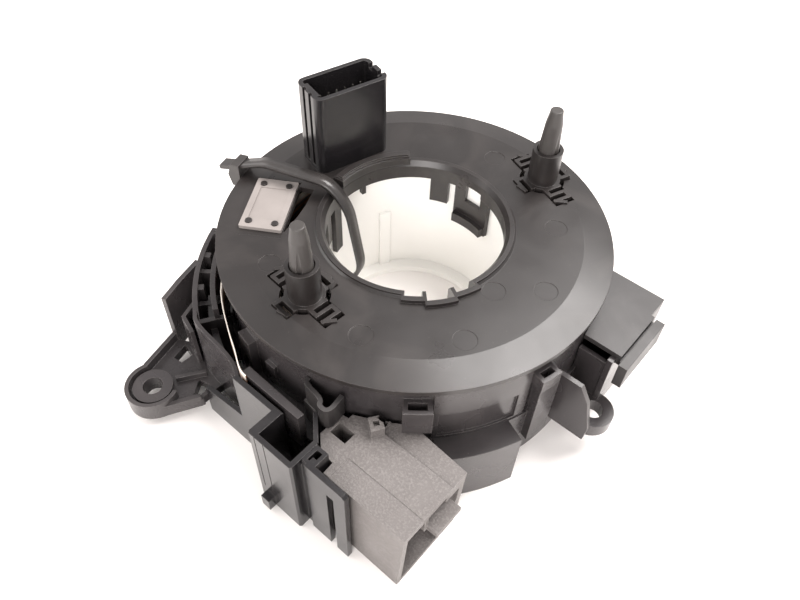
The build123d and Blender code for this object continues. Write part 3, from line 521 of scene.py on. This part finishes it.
# Ribbon end holder. Textured black plastic clip beside the wide socket, which holds the ribbon's
# end. It is moulded as a foot with a C-shaped wall on top, and stands on the base.
cover_black = moulded_plastic(
    "cover_black", (0.026, 0.0235, 0.0235), (0.10, 0.092, 0.088), (0.34, 0.46), depth=0.00002
)
holder = Moulding()
foot_top, hook_top = 28.0, 35.0
foot = [(10.4, -52.5), (16.2, -53.3), (17.6, -53.3), (17.6, -51.4), (10.4, -50.6)]
holder.prism(foot, drum_top + seat_gap, foot_top)
hook = [(10.4, -50.0), (10.6, -51.8), (16.9, -52.4), (17.4, -54.1), (20.4, -53.9), (19.6, -48.6)]
holder.wall(smoothed(hook), 1.1, foot_top, hook_top)
holder.ring(0, 51.3, cut_low, cut_high, "DIFFERENCE")
holder.made("ribbon_clip", "housing", "ribbon_end_holder", cover_black)

# Large socket. Dark grey plastic housing, seated on the base and open towards +X. Its mould was
# spark eroded, which leaves a coarse surface. It has a key opening and a loop tab in its top and
# a leaning end face.
socket_grey = moulded_plastic(
    "socket_grey", (0.125, 0.113, 0.108), (0.27, 0.25, 0.24), (0.42, 0.6),
    fine=2000.0, depth=0.00022, marks=0.2, speckle=0.34,
)
socket = Moulding()
outline = [(19.6, -56.2), (22.9, -59.3), (27.0, -59.7), (27.2, -62.8)]
outline += [(51.0, -62.8), (51.0, -41.2), (31.7, -39.8), (27.9, -41.0)]
outline += [(27.3, -42.4), (21.7, -43.2), (21.7, -48.9), (19.6, -49.3)]
socket.prism(outline, 0, 27.7)
leaning_end = [(51.6, 27.7), (60, 27.7), (60, 0), (49.7, 0), (51.0, 27.7)]
socket.side_plate(leaning_end, (-70, -30), "DIFFERENCE")
# Steps along both edges of the top, the mouth with its side room, and the key opening
for x, y, z in (
    ((29.8, 60), (-46.4, -38), (27.2, 40)),
    ((28.9, 60), (-64, -56.4), (27.5, 40)),
    ((30.0, 60), (-61.4, -48.0), (1.6, 25.3)),
    ((35.0, 60), (-48.6, -43.0), (5.6, 22.7)),
    ((21.0, 25.7), (-54.4, -51.0), (6, 40)),
):
    socket.block(x, y, z, "DIFFERENCE")
# Loop tab with its slot, then the tongue in the mouth
socket.prism([(26.2, -47.2), (28.0, -44.5), (31.0, -46.6), (29.3, -49.4)], 24.0, 30.8)
socket.prism([(27.7, -47.1), (28.5, -45.9), (29.6, -46.7), (28.8, -47.9)], 29.3, 40, "DIFFERENCE")
socket.block((27.7, 29.6), (-45.8, -43.8), (23.7, 40), "DIFFERENCE")
socket.block((41.6, 53.4), (-54.0, -45.4), (18.1, 19.7))
socket.block((41.6, 50.4), (-54.8, -53.6), (18.1, 25.7))
socket.ring(0, 52.3, cut_low, cut_high, "DIFFERENCE")
socket.made("wide_socket", "housing", "connector_socket", socket_grey)

# Contacts. Bright tinned metal blades and pins, pressed in rows into the open box, the tall
# connector and the back of the wide socket.
tin = bpy.data.materials.new("terminal_tinned")
tin.use_nodes = True
tin_nodes, tin_links = tin.node_tree.nodes, tin.node_tree.links
tin_shader = tin_nodes["Principled BSDF"]
tin_shader.inputs["Metallic"].default_value = 1.0
tin_place = tin_nodes.new("ShaderNodeTexCoord")
tin_cloud = tin_nodes.new("ShaderNodeTexNoise")
tin_cloud.inputs["Scale"].default_value = 700.0
tin_tone = tin_nodes.new("ShaderNodeValToRGB")
tin_tone.color_ramp.elements[0].color = (0.62, 0.58, 0.52, 1)
tin_tone.color_ramp.elements[1].color = (0.88, 0.86, 0.82, 1)
tin_gloss = tin_nodes.new("ShaderNodeMapRange")
tin_gloss.inputs["To Min"].default_value = 0.18
tin_gloss.inputs["To Max"].default_value = 0.34
tin_links.new(tin_place.outputs["Object"], tin_cloud.inputs["Vector"])
tin_links.new(tin_cloud.outputs["Fac"], tin_tone.inputs["Fac"])
tin_links.new(tin_cloud.outputs["Fac"], tin_gloss.inputs["Value"])
tin_links.new(tin_tone.outputs["Color"], tin_shader.inputs["Base Color"])
tin_links.new(tin_gloss.outputs["Result"], tin_shader.inputs["Roughness"])


def contact_tree(name, finish):
    """Geometry nodes that stand one tapered contact on every point of a mesh."""
    tree = bpy.data.node_groups.new(name, "GeometryNodeTree")
    tree.interface.new_socket("Places", in_out="INPUT", socket_type="NodeSocketGeometry")
    for label in ("Width", "Thickness", "Length", "Tip length"):
        tree.interface.new_socket(label, in_out="INPUT", socket_type="NodeSocketFloat")
    tree.interface.new_socket("Turn", in_out="INPUT", socket_type="NodeSocketFloat")
    tree.interface.new_socket("Contacts", in_out="OUTPUT", socket_type="NodeSocketGeometry")
    nodes, links = tree.nodes, tree.links
    given, result = nodes.new("NodeGroupInput"), nodes.new("NodeGroupOutput")
    shank = nodes.new("GeometryNodeMeshCube")
    size = nodes.new("ShaderNodeCombineXYZ")
    links.new(given.outputs["Width"], size.inputs["X"])
    links.new(given.outputs["Thickness"], size.inputs["Y"])
    links.new(given.outputs["Length"], size.inputs["Z"])
    links.new(size.outputs["Vector"], shank.inputs["Size"])
    half = nodes.new("ShaderNodeMath")
    half.operation = "MULTIPLY"
    half.inputs[1].default_value = -0.5
    links.new(given.outputs["Length"], half.inputs[0])
    down = nodes.new("ShaderNodeCombineXYZ")
    links.new(half.outputs["Value"], down.inputs["Z"])
    lowered = nodes.new("GeometryNodeTransform")
    links.new(shank.outputs["Mesh"], lowered.inputs["Geometry"])
    links.new(down.outputs["Vector"], lowered.inputs["Translation"])
    tip = nodes.new("GeometryNodeMeshCone")
    tip.fill_type = "NGON"
    tip.inputs["Vertices"].default_value = 4
    tip.inputs["Radius Top"].default_value = 0.35
    tip.inputs["Radius Bottom"].default_value = 0.70711
    tip.inputs["Depth"].default_value = 1.0
    tip_size = nodes.new("ShaderNodeCombineXYZ")
    links.new(given.outputs["Width"], tip_size.inputs["X"])
    links.new(given.outputs["Thickness"], tip_size.inputs["Y"])
    links.new(given.outputs["Tip length"], tip_size.inputs["Z"])
    squared = nodes.new("GeometryNodeTransform")
    squared.inputs["Rotation"].default_value = (0, 0, radians(45))
    links.new(tip.outputs["Mesh"], squared.inputs["Geometry"])
    shaped = nodes.new("GeometryNodeTransform")
    links.new(squared.outputs["Geometry"], shaped.inputs["Geometry"])
    links.new(tip_size.outputs["Vector"], shaped.inputs["Scale"])
    both = nodes.new("GeometryNodeJoinGeometry")
    links.new(lowered.outputs["Geometry"], both.inputs["Geometry"])
    links.new(shaped.outputs["Geometry"], both.inputs["Geometry"])
    turned = nodes.new("ShaderNodeCombineXYZ")
    links.new(given.outputs["Turn"], turned.inputs["Z"])
    stand = nodes.new("GeometryNodeInstanceOnPoints")
    links.new(given.outputs["Places"], stand.inputs["Points"])
    links.new(both.outputs["Geometry"], stand.inputs["Instance"])
    links.new(turned.outputs["Vector"], stand.inputs["Rotation"])
    real = nodes.new("GeometryNodeRealizeInstances")
    links.new(stand.outputs["Instances"], real.inputs["Geometry"])
    coated = nodes.new("GeometryNodeSetMaterial")
    coated.inputs["Material"].default_value = finish
    links.new(real.outputs["Geometry"], coated.inputs["Geometry"])
    links.new(coated.outputs["Geometry"], result.inputs["Contacts"])
    return tree


def dressed(node, finish):
    """A CAD node keeps its shape and takes a finish."""
    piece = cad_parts[node]
    piece.data.materials.clear()
    piece.data.materials.append(finish)


def grown(name, source, tree, values, body, node):
    """Runs a tree on a source piece and keeps its result as a plain mesh at the origin."""
    carrier = bpy.data.objects.new(name + "_source", source)
    bpy.context.scene.collection.objects.link(carrier)
    step = carrier.modifiers.new("shape", "NODES")
    step.node_group = tree
    sockets = {s.name: s.identifier for s in tree.interface.items_tree if s.in_out == "INPUT"}
    for label, value in values.items():
        step[sockets[label]] = value
    now = bpy.context.evaluated_depsgraph_get()
    mesh = bpy.data.meshes.new_from_object(carrier.evaluated_get(now))
    carrier.modifiers.remove(step)
    bpy.data.objects.remove(carrier)
    piece = bpy.data.objects.new(name, mesh)
    bpy.context.scene.collection.objects.link(piece)
    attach(piece, body)
    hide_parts(node)
    return piece


def points_mesh(name, places):
    """Mesh of loose points, given in millimetres."""
    mesh = bpy.data.meshes.new(name)
    mesh.from_pydata([tuple(value / 1000 for value in place) for place in places], [], [])
    return mesh


contacts = contact_tree("contact", tin)
box_points = points_mesh("box_places", [(x, -64.1, 17.6) for x in (11.9, 14.5, 17.1, 19.7)])
box_sizes = {"Width": 0.0015, "Thickness": 0.0006, "Length": 0.0154, "Tip length": 0.0012}
box_sizes["Turn"] = 0.0
grown("box_blades", box_points, contacts, box_sizes, "housing", "box_terminals")
connector_angle, connector_radius, pin_pitch, pin_columns, pin_top = 164.7, 36.1, 2.54, 6, 61.6
outward, along = Vector(at(1, connector_angle)), Vector(at(1, connector_angle + 90))
wheel_places = []
for row in (-1.4, 1.4):
    for column in range(pin_columns):
        shift = column - (pin_columns - 1) / 2
        spot = outward * (connector_radius + row) + along * shift * pin_pitch
        wheel_places.append((spot.x, spot.y, pin_top))
wheel_points = points_mesh("wheel_places", wheel_places)
wheel_sizes = {"Width": 0.00064, "Thickness": 0.00064, "Length": 0.020, "Tip length": 0.0009}
wheel_sizes["Turn"] = radians(connector_angle)
grown(
    "wheel_pins", wheel_points, contacts, wheel_sizes, "rotor", "wheel_terminals"
)
dressed("socket_terminals", tin)

# Cable tie. Black nylon strap looped through the bore and round the outside, toothed on its
# inner side, with its locking head at the disc's left edge and a short cut tail.
tie_nylon = moulded_plastic(
    "tie_black", (0.03, 0.027, 0.026), (0.10, 0.09, 0.086), (0.26, 0.38), depth=0.00001, marks=0.35
)
tie_angle = 197.0
tie_out = Vector((*at(1, tie_angle), 0))
tie_side = Vector((*at(1, tie_angle - 90), 0))


def swept_tree(name, finish, toothed):
    """Geometry nodes that sweep a flat strap along a path, with cross teeth on one side."""
    tree = bpy.data.node_groups.new(name, "GeometryNodeTree")
    tree.interface.new_socket("Path", in_out="INPUT", socket_type="NodeSocketGeometry")
    for label in ("Width", "Thickness", "Tooth pitch", "Tooth height"):
        tree.interface.new_socket(label, in_out="INPUT", socket_type="NodeSocketFloat")
    tree.interface.new_socket("Side", in_out="INPUT", socket_type="NodeSocketVector")
    tree.interface.new_socket("Strap", in_out="OUTPUT", socket_type="NodeSocketGeometry")
    nodes, links = tree.nodes, tree.links
    given, result = nodes.new("NodeGroupInput"), nodes.new("NodeGroupOutput")
    bend = nodes.new("GeometryNodeInputRadius")
    fillet = nodes.new("GeometryNodeFilletCurve")
    fillet.mode = "POLY"
    fillet.inputs["Count"].default_value = 10
    links.new(given.outputs["Path"], fillet.inputs["Curve"])
    links.new(bend.outputs["Radius"], fillet.inputs["Radius"])
    faced = nodes.new("GeometryNodeSetCurveNormal")
    faced.mode = "FREE"
    links.new(fillet.outputs["Curve"], faced.inputs["Curve"])
    links.new(given.outputs["Side"], faced.inputs["Normal"])
    even = nodes.new("GeometryNodeSetCurveRadius")
    even.inputs["Radius"].default_value = 1.0
    links.new(faced.outputs["Curve"], even.inputs["Curve"])
    section = nodes.new("GeometryNodeCurvePrimitiveQuadrilateral")
    links.new(given.outputs["Width"], section.inputs["Width"])
    links.new(given.outputs["Thickness"], section.inputs["Height"])
    strap = nodes.new("GeometryNodeCurveToMesh")
    strap.inputs["Fill Caps"].default_value = True
    links.new(even.outputs["Curve"], strap.inputs["Curve"])
    links.new(section.outputs["Curve"], strap.inputs["Profile Curve"])
    joined = nodes.new("GeometryNodeJoinGeometry")
    links.new(strap.outputs["Mesh"], joined.inputs["Geometry"])
    if toothed:
        spots = nodes.new("GeometryNodeCurveToPoints")
        spots.mode = "LENGTH"
        links.new(even.outputs["Curve"], spots.inputs["Curve"])
        links.new(given.outputs["Tooth pitch"], spots.inputs["Length"])
        tooth = nodes.new("GeometryNodeMeshCube")
        tooth_width = nodes.new("ShaderNodeMath")
        tooth_width.operation = "MULTIPLY"
        tooth_width.inputs[1].default_value = 0.6
        links.new(given.outputs["Width"], tooth_width.inputs[0])
        tooth_length = nodes.new("ShaderNodeMath")
        tooth_length.operation = "MULTIPLY"
        tooth_length.inputs[1].default_value = 0.5
        links.new(given.outputs["Tooth pitch"], tooth_length.inputs[0])
        tooth_depth = nodes.new("ShaderNodeMath")
        links.new(given.outputs["Thickness"], tooth_depth.inputs[0])
        links.new(given.outputs["Tooth height"], tooth_depth.inputs[1])
        tooth_size = nodes.new("ShaderNodeCombineXYZ")
        links.new(tooth_width.outputs["Value"], tooth_size.inputs["X"])
        links.new(tooth_depth.outputs["Value"], tooth_size.inputs["Y"])
        links.new(tooth_length.outputs["Value"], tooth_size.inputs["Z"])
        links.new(tooth_size.outputs["Vector"], tooth.inputs["Size"])
        row = nodes.new("GeometryNodeInstanceOnPoints")
        links.new(spots.outputs["Points"], row.inputs["Points"])
        links.new(spots.outputs["Rotation"], row.inputs["Rotation"])
        inward = nodes.new("GeometryNodeTransform")
        inward.inputs["Translation"].default_value = (0, 0.0001, 0)
        links.new(tooth.outputs["Mesh"], inward.inputs["Geometry"])
        links.new(inward.outputs["Geometry"], row.inputs["Instance"])
        links.new(row.outputs["Instances"], joined.inputs["Geometry"])
    real = nodes.new("GeometryNodeRealizeInstances")
    links.new(joined.outputs["Geometry"], real.inputs["Geometry"])
    coated = nodes.new("GeometryNodeSetMaterial")
    coated.inputs["Material"].default_value = finish
    links.new(real.outputs["Geometry"], coated.inputs["Geometry"])
    links.new(coated.outputs["Geometry"], result.inputs["Strap"])
    return tree


def path_curve(name, points, bends):
    """Curve through points in metres, with the bend radius of each corner on its point."""
    curve = bpy.data.curves.new(name, "CURVE")
    curve.dimensions = "3D"
    spline = curve.splines.new("POLY")
    spline.points.add(len(points) - 1)
    for spot, place, bend in zip(spline.points, points, bends):
        spot.co = (*place, 1)
        spot.radius = bend
    return curve


tie_line = [(53.7, 37.6), (53.7, 0.85), (25.8, 0.85), (16.0, 17.5)]
tie_line += [(19.9, 41.0), (26.0, 47.0), (45.5, 46.8), (54.0, 43.2)]
tie_bends = [0, 5, 3, 12, 16, 7, 9, 0]
tie_points = [(tie_out * radius + Vector((0, 0, height))) / 1000 for radius, height in tie_line]
tie_path = path_curve("tie_path", tie_points, [bend / 1000 for bend in tie_bends])
strap_sizes = {"Width": 0.0036, "Thickness": 0.0011, "Tooth pitch": 0.0016, "Tooth height": 0.0}
strap_sizes["Side"] = tuple(tie_side)
strap_tree = swept_tree("strap", tie_nylon, True)
grown("tie_strap", tie_path, strap_tree, strap_sizes, "housing", "cable_tie")


def plate_across(name, outline, half_width, finish, body):
    """Plate drawn as (radius, height) in the plane of the tie, equally thick to both sides."""
    work = bmesh.new()
    sides = []
    for shift in (-half_width, half_width):
        corners = [tie_out * r + tie_side * shift + Vector((0, 0, z)) for r, z in outline]
        sides.append([work.verts.new(corner / 1000) for corner in corners])
        work.faces.new(sides[-1])
    for index in range(len(outline)):
        after = (index + 1) % len(outline)
        work.faces.new((sides[0][index], sides[0][after], sides[1][after], sides[1][index]))
    bmesh.ops.recalc_face_normals(work, faces=work.faces)
    mesh = bpy.data.meshes.new(name)
    work.to_mesh(mesh)
    work.free()
    piece = bpy.data.objects.new(name, mesh)
    bpy.context.scene.collection.objects.link(piece)
    piece.data.materials.append(finish)
    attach(piece, body)
    return piece


head_outline = [(52.9, 37.2), (52.9, 44.6), (55.6, 44.3), (56.8, 40.6), (55.8, 37.0)]
tail_outline = [(53.4, 43.7), (60.2, 41.9), (60.0, 40.7), (53.4, 42.4)]
plate_across("tie_head", head_outline, 2.7, tie_nylon, "housing")
plate_across("tie_tail", tail_outline, 1.8, tie_nylon, "housing")

# Ribbon. Film with flat copper tracks laminated in it, wound on edge round the hub as a loose
# spiral and led out through the ring's gap. It is a plain bent strip, modelled up to the room
# behind the terminal block's front wall.
film = bpy.data.materials.new("ribbon_clear")
film.use_nodes = True
film_nodes, film_links = film.node_tree.nodes, film.node_tree.links
film_shader = film_nodes["Principled BSDF"]
film_shader.inputs["Roughness"].default_value = 0.16
film_place = film_nodes.new("ShaderNodeTexCoord")
film_split = film_nodes.new("ShaderNodeSeparateXYZ")
film_links.new(film_place.outputs["Object"], film_split.inputs["Vector"])
film_tracks = film_nodes.new("ShaderNodeMath")
film_tracks.operation = "PINGPONG"
film_tracks.inputs[1].default_value = 0.00102
film_links.new(film_split.outputs["Z"], film_tracks.inputs[0])
film_tone = film_nodes.new("ShaderNodeMapRange")
film_tone.inputs["From Min"].default_value = 0.00042
film_tone.inputs["From Max"].default_value = 0.00048
film_links.new(film_tracks.outputs["Value"], film_tone.inputs["Value"])
film_tint = film_nodes.new("ShaderNodeValToRGB")
film_tint.color_ramp.elements[0].color = (0.075, 0.062, 0.055, 1)
film_tint.color_ramp.elements[1].color = (0.17, 0.085, 0.05, 1)
film_links.new(film_tone.outputs["Result"], film_tint.inputs["Fac"])
# Faces of the film that look upwards take a pale colour: a painted highlight on its top edge
film_true = film_nodes.new("ShaderNodeNewGeometry")
film_facing = film_nodes.new("ShaderNodeSeparateXYZ")
film_top_highlight = film_nodes.new("ShaderNodeMapRange")
film_top_highlight.inputs["From Min"].default_value = 0.5
film_top_highlight.inputs["From Max"].default_value = 0.8
film_mix = film_nodes.new("ShaderNodeMix")
film_mix.data_type = "RGBA"
film_mix.inputs["B"].default_value = (0.85, 0.78, 0.70, 1)
film_links.new(film_true.outputs["Normal"], film_facing.inputs["Vector"])
film_links.new(film_facing.outputs["Z"], film_top_highlight.inputs["Value"])
film_links.new(film_top_highlight.outputs["Result"], film_mix.inputs["Factor"])
film_links.new(film_tint.outputs["Color"], film_mix.inputs["A"])
film_links.new(film_mix.outputs["Result"], film_shader.inputs["Base Color"])
ribbon_inner, ribbon_outer, half_turns, ribbon_end = 27.6, 48.5, 9, 208.0
ribbon_steps = half_turns * 24
ribbon_line = []
for step in range(ribbon_steps + 1):
    share = step / ribbon_steps
    radius = ribbon_inner + (ribbon_outer - ribbon_inner) * share
    ribbon_line.append(at(radius, ribbon_end - 180 * half_turns * (1 - share)))
lead = [(-43.0, -23.0), (-39.8, -29.6), (-34.6, -36.6), (-28.2, -44.6), (-22.8, -48.7)]
lead += [(-15.2, -53.0), (-10.5, -55.3), (-7.0, -57.4), (-4.5, -58.5), (-2.6, -58.62)]
ribbon_line += smoothed(lead, 2)[1:]
ribbon_middle, lead_drop, lead_from, lead_to, lead_front = 27.55, 1.7, -27.0, -9.0, -44
ribbon_points = []
for x, y in ribbon_line:
    share = min(max((x - lead_from) / (lead_to - lead_from), 0), 1) if y < lead_front else 0
    ribbon_points.append((x / 1000, y / 1000, (ribbon_middle - lead_drop * share) / 1000))
ribbon_path = path_curve("ribbon_path", ribbon_points, [0] * len(ribbon_points))
film_sizes = {"Width": 0.0123, "Thickness": 0.0003, "Tooth pitch": 0.01, "Tooth height": 0.0}
film_sizes["Side"] = (0.0, 0.0, 1.0)
film_tree = swept_tree("film", film, False)
grown("ribbon_film", ribbon_path, film_tree, film_sizes, "housing", "ribbon_cable")

# Disc. Satin black plastic moulding with a raised collar, two cross-shaped openings and ejector
# marks. It lies over the ring and turns with the hub that is fixed under it.
rotor_black = moulded_plastic(
    "rotor_black", (0.017, 0.0145, 0.014), (0.06, 0.052, 0.049), (0.27, 0.36),
    fine=3200.0, depth=0.00001, marks=0.35,
)
dressed("rotor_disc", rotor_black)

# Guide rib. Rounded bar on the collar beside the tall connector, which keeps the plug's cable
# off the bore. It is moulded with the disc, and made here in steps that round its top.
rib_start, rib_end, rib_bottom = 134, 188, 43.0
rib_steps = ((23.5, 26.7, 0, 45.2), (23.8, 26.4, 0.6, 45.7), (24.2, 26.0, 1.4, 46.1))
guide_rib = Moulding()
for inner, outer, inset, top in rib_steps:
    guide_rib.arc_wall(inner, outer, rib_start + inset, rib_end - inset, rib_bottom, top)
guide_rib.made("guide_rib", "rotor", None, rotor_black)

# Driver pins. Tapered, fluted pins of dark grey plastic that stand in the tubes. The steering
# wheel takes hold of them and turns the disc.
pin_grey = moulded_plastic("pin_grey", (0.04, 0.036, 0.034), (0.12, 0.11, 0.105), (0.34, 0.48))
for node in ("driver_pin_left", "driver_pin_right"):
    dressed(node, pin_grey)

# Springs of the sleeves. Satin black plastic tubes round the driver pins, each on a cross of thin
# folded ribs. The ribs are moulded with the tube and let it give sideways.
pin_places = {"left": (-3.5, -37.2), "right": (14.7, 38.2)}
sleeve_radius, sleeve_bore, sleeve_foot, sleeve_bottom, sleeve_top = 4.2, 3.15, 5.1, 38.0, 53.0
spring_bottom, spring_top, spring_rib, spring_pitch, spring_span = 40.8, 42.9, 1.0, 2.4, 4.6
spring_reaches, spring_root, spring_first, spring_last = (7.9, 11.2), 0.2, 0.7, 0.8
for side, place in pin_places.items():
    sleeve = Moulding()
    sleeve.round_post(place, sleeve_radius, sleeve_bottom, sleeve_top)
    sleeve.round_post(place, sleeve_foot, spring_bottom, spring_top)
    centre = Vector(place)
    pin_angle = degrees(atan2(place[1], place[0]))
    for quarter in range(4):
        reach = spring_reaches[quarter % 2]
        turn_angle = radians(pin_angle + 90 * quarter)
        ahead = Vector((cos(turn_angle), sin(turn_angle)))
        swing = Vector((-sin(turn_angle), cos(turn_angle))) * spring_span / 2
        folds = int((reach - sleeve_radius - spring_last) / spring_pitch)
        line = [centre + ahead * (sleeve_radius - spring_root)]
        for fold in range(folds + 1):
            spot = centre + ahead * (sleeve_radius + spring_first + fold * spring_pitch)
            line += [spot + swing, spot - swing]
            swing = -swing
        line.append(centre + ahead * reach)
        for first, last in zip(line, line[1:]):
            run = (last - first).normalized() * spring_rib / 2
            ends = [tuple(first - run), tuple(last + run)]
            sleeve.wall(ends, spring_rib, spring_bottom, spring_top)
    sleeve.round_post(place, sleeve_bore, sleeve_bottom + 3, cut_high, "DIFFERENCE")
    sleeve.made("pin_tube_" + side, "rotor", "pin_sleeve_" + side, rotor_black)

# Wheel connector. Polished black plastic shroud that the steering wheel's plug goes into. It
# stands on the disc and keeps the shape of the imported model.
dressed("wheel_connector", connector_black)

# Lead frame. Black plastic block, hidden under the disc and fixed to it, that joins the pins to
# the ribbon.
lead_frame_black = moulded_plastic(
    "lead_frame_black", (0.05, 0.05, 0.05), (0.12, 0.12, 0.12), (0.4, 0.5)
)
dressed("inner_lead_frame", lead_frame_black)

# Hub. Natural white plastic sleeve that the ribbon is wound on, seen through the bore. It is
# fixed under the disc and turns with it.
hub_white = moulded_plastic(
    "hub_white", (0.93, 0.92, 0.89), (0.96, 0.955, 0.94), (0.3, 0.42), depth=0.000006, marks=0.2
)
dressed("inner_hub", hub_white)

# Window plate. Frosted clear plastic plate over the centre mark in the disc. Four melted stakes
# of the disc hold it down.
frosted = bpy.data.materials.new("window_clear")
frosted.use_nodes = True
frosted_nodes, frosted_links = frosted.node_tree.nodes, frosted.node_tree.links
frosted_shader = frosted_nodes["Principled BSDF"]
frosted_place = frosted_nodes.new("ShaderNodeTexCoord")
frosted_grain = frosted_nodes.new("ShaderNodeGroup")
frosted_grain.node_tree = mould_grain
frosted_grain.inputs["Fine"].default_value = 1800.0
frosted_tone = frosted_nodes.new("ShaderNodeValToRGB")
frosted_tone.color_ramp.elements[0].color = (0.20, 0.18, 0.17, 1)
frosted_tone.color_ramp.elements[1].color = (0.31, 0.28, 0.265, 1)
frosted_gloss = frosted_nodes.new("ShaderNodeMapRange")
frosted_gloss.inputs["To Min"].default_value = 0.42
frosted_gloss.inputs["To Max"].default_value = 0.6
frosted_bump = frosted_nodes.new("ShaderNodeBump")
frosted_bump.inputs["Distance"].default_value = 0.00001
frosted_links.new(frosted_place.outputs["Object"], frosted_grain.inputs["Vector"])
frosted_links.new(frosted_grain.outputs["Tone"], frosted_tone.inputs["Fac"])
frosted_links.new(frosted_grain.outputs["Tone"], frosted_gloss.inputs["Value"])
frosted_links.new(frosted_grain.outputs["Height"], frosted_bump.inputs["Height"])
frosted_links.new(frosted_tone.outputs["Color"], frosted_shader.inputs["Base Color"])
frosted_links.new(frosted_gloss.outputs["Result"], frosted_shader.inputs["Roughness"])
frosted_links.new(frosted_bump.outputs["Normal"], frosted_shader.inputs["Normal"])
dressed("window_plate", frosted)

# Side cover. Textured black plastic plate with a rail along its edge. It lies on the walls of
# the right compartment and closes it.
dressed("side_cover", cover_black)
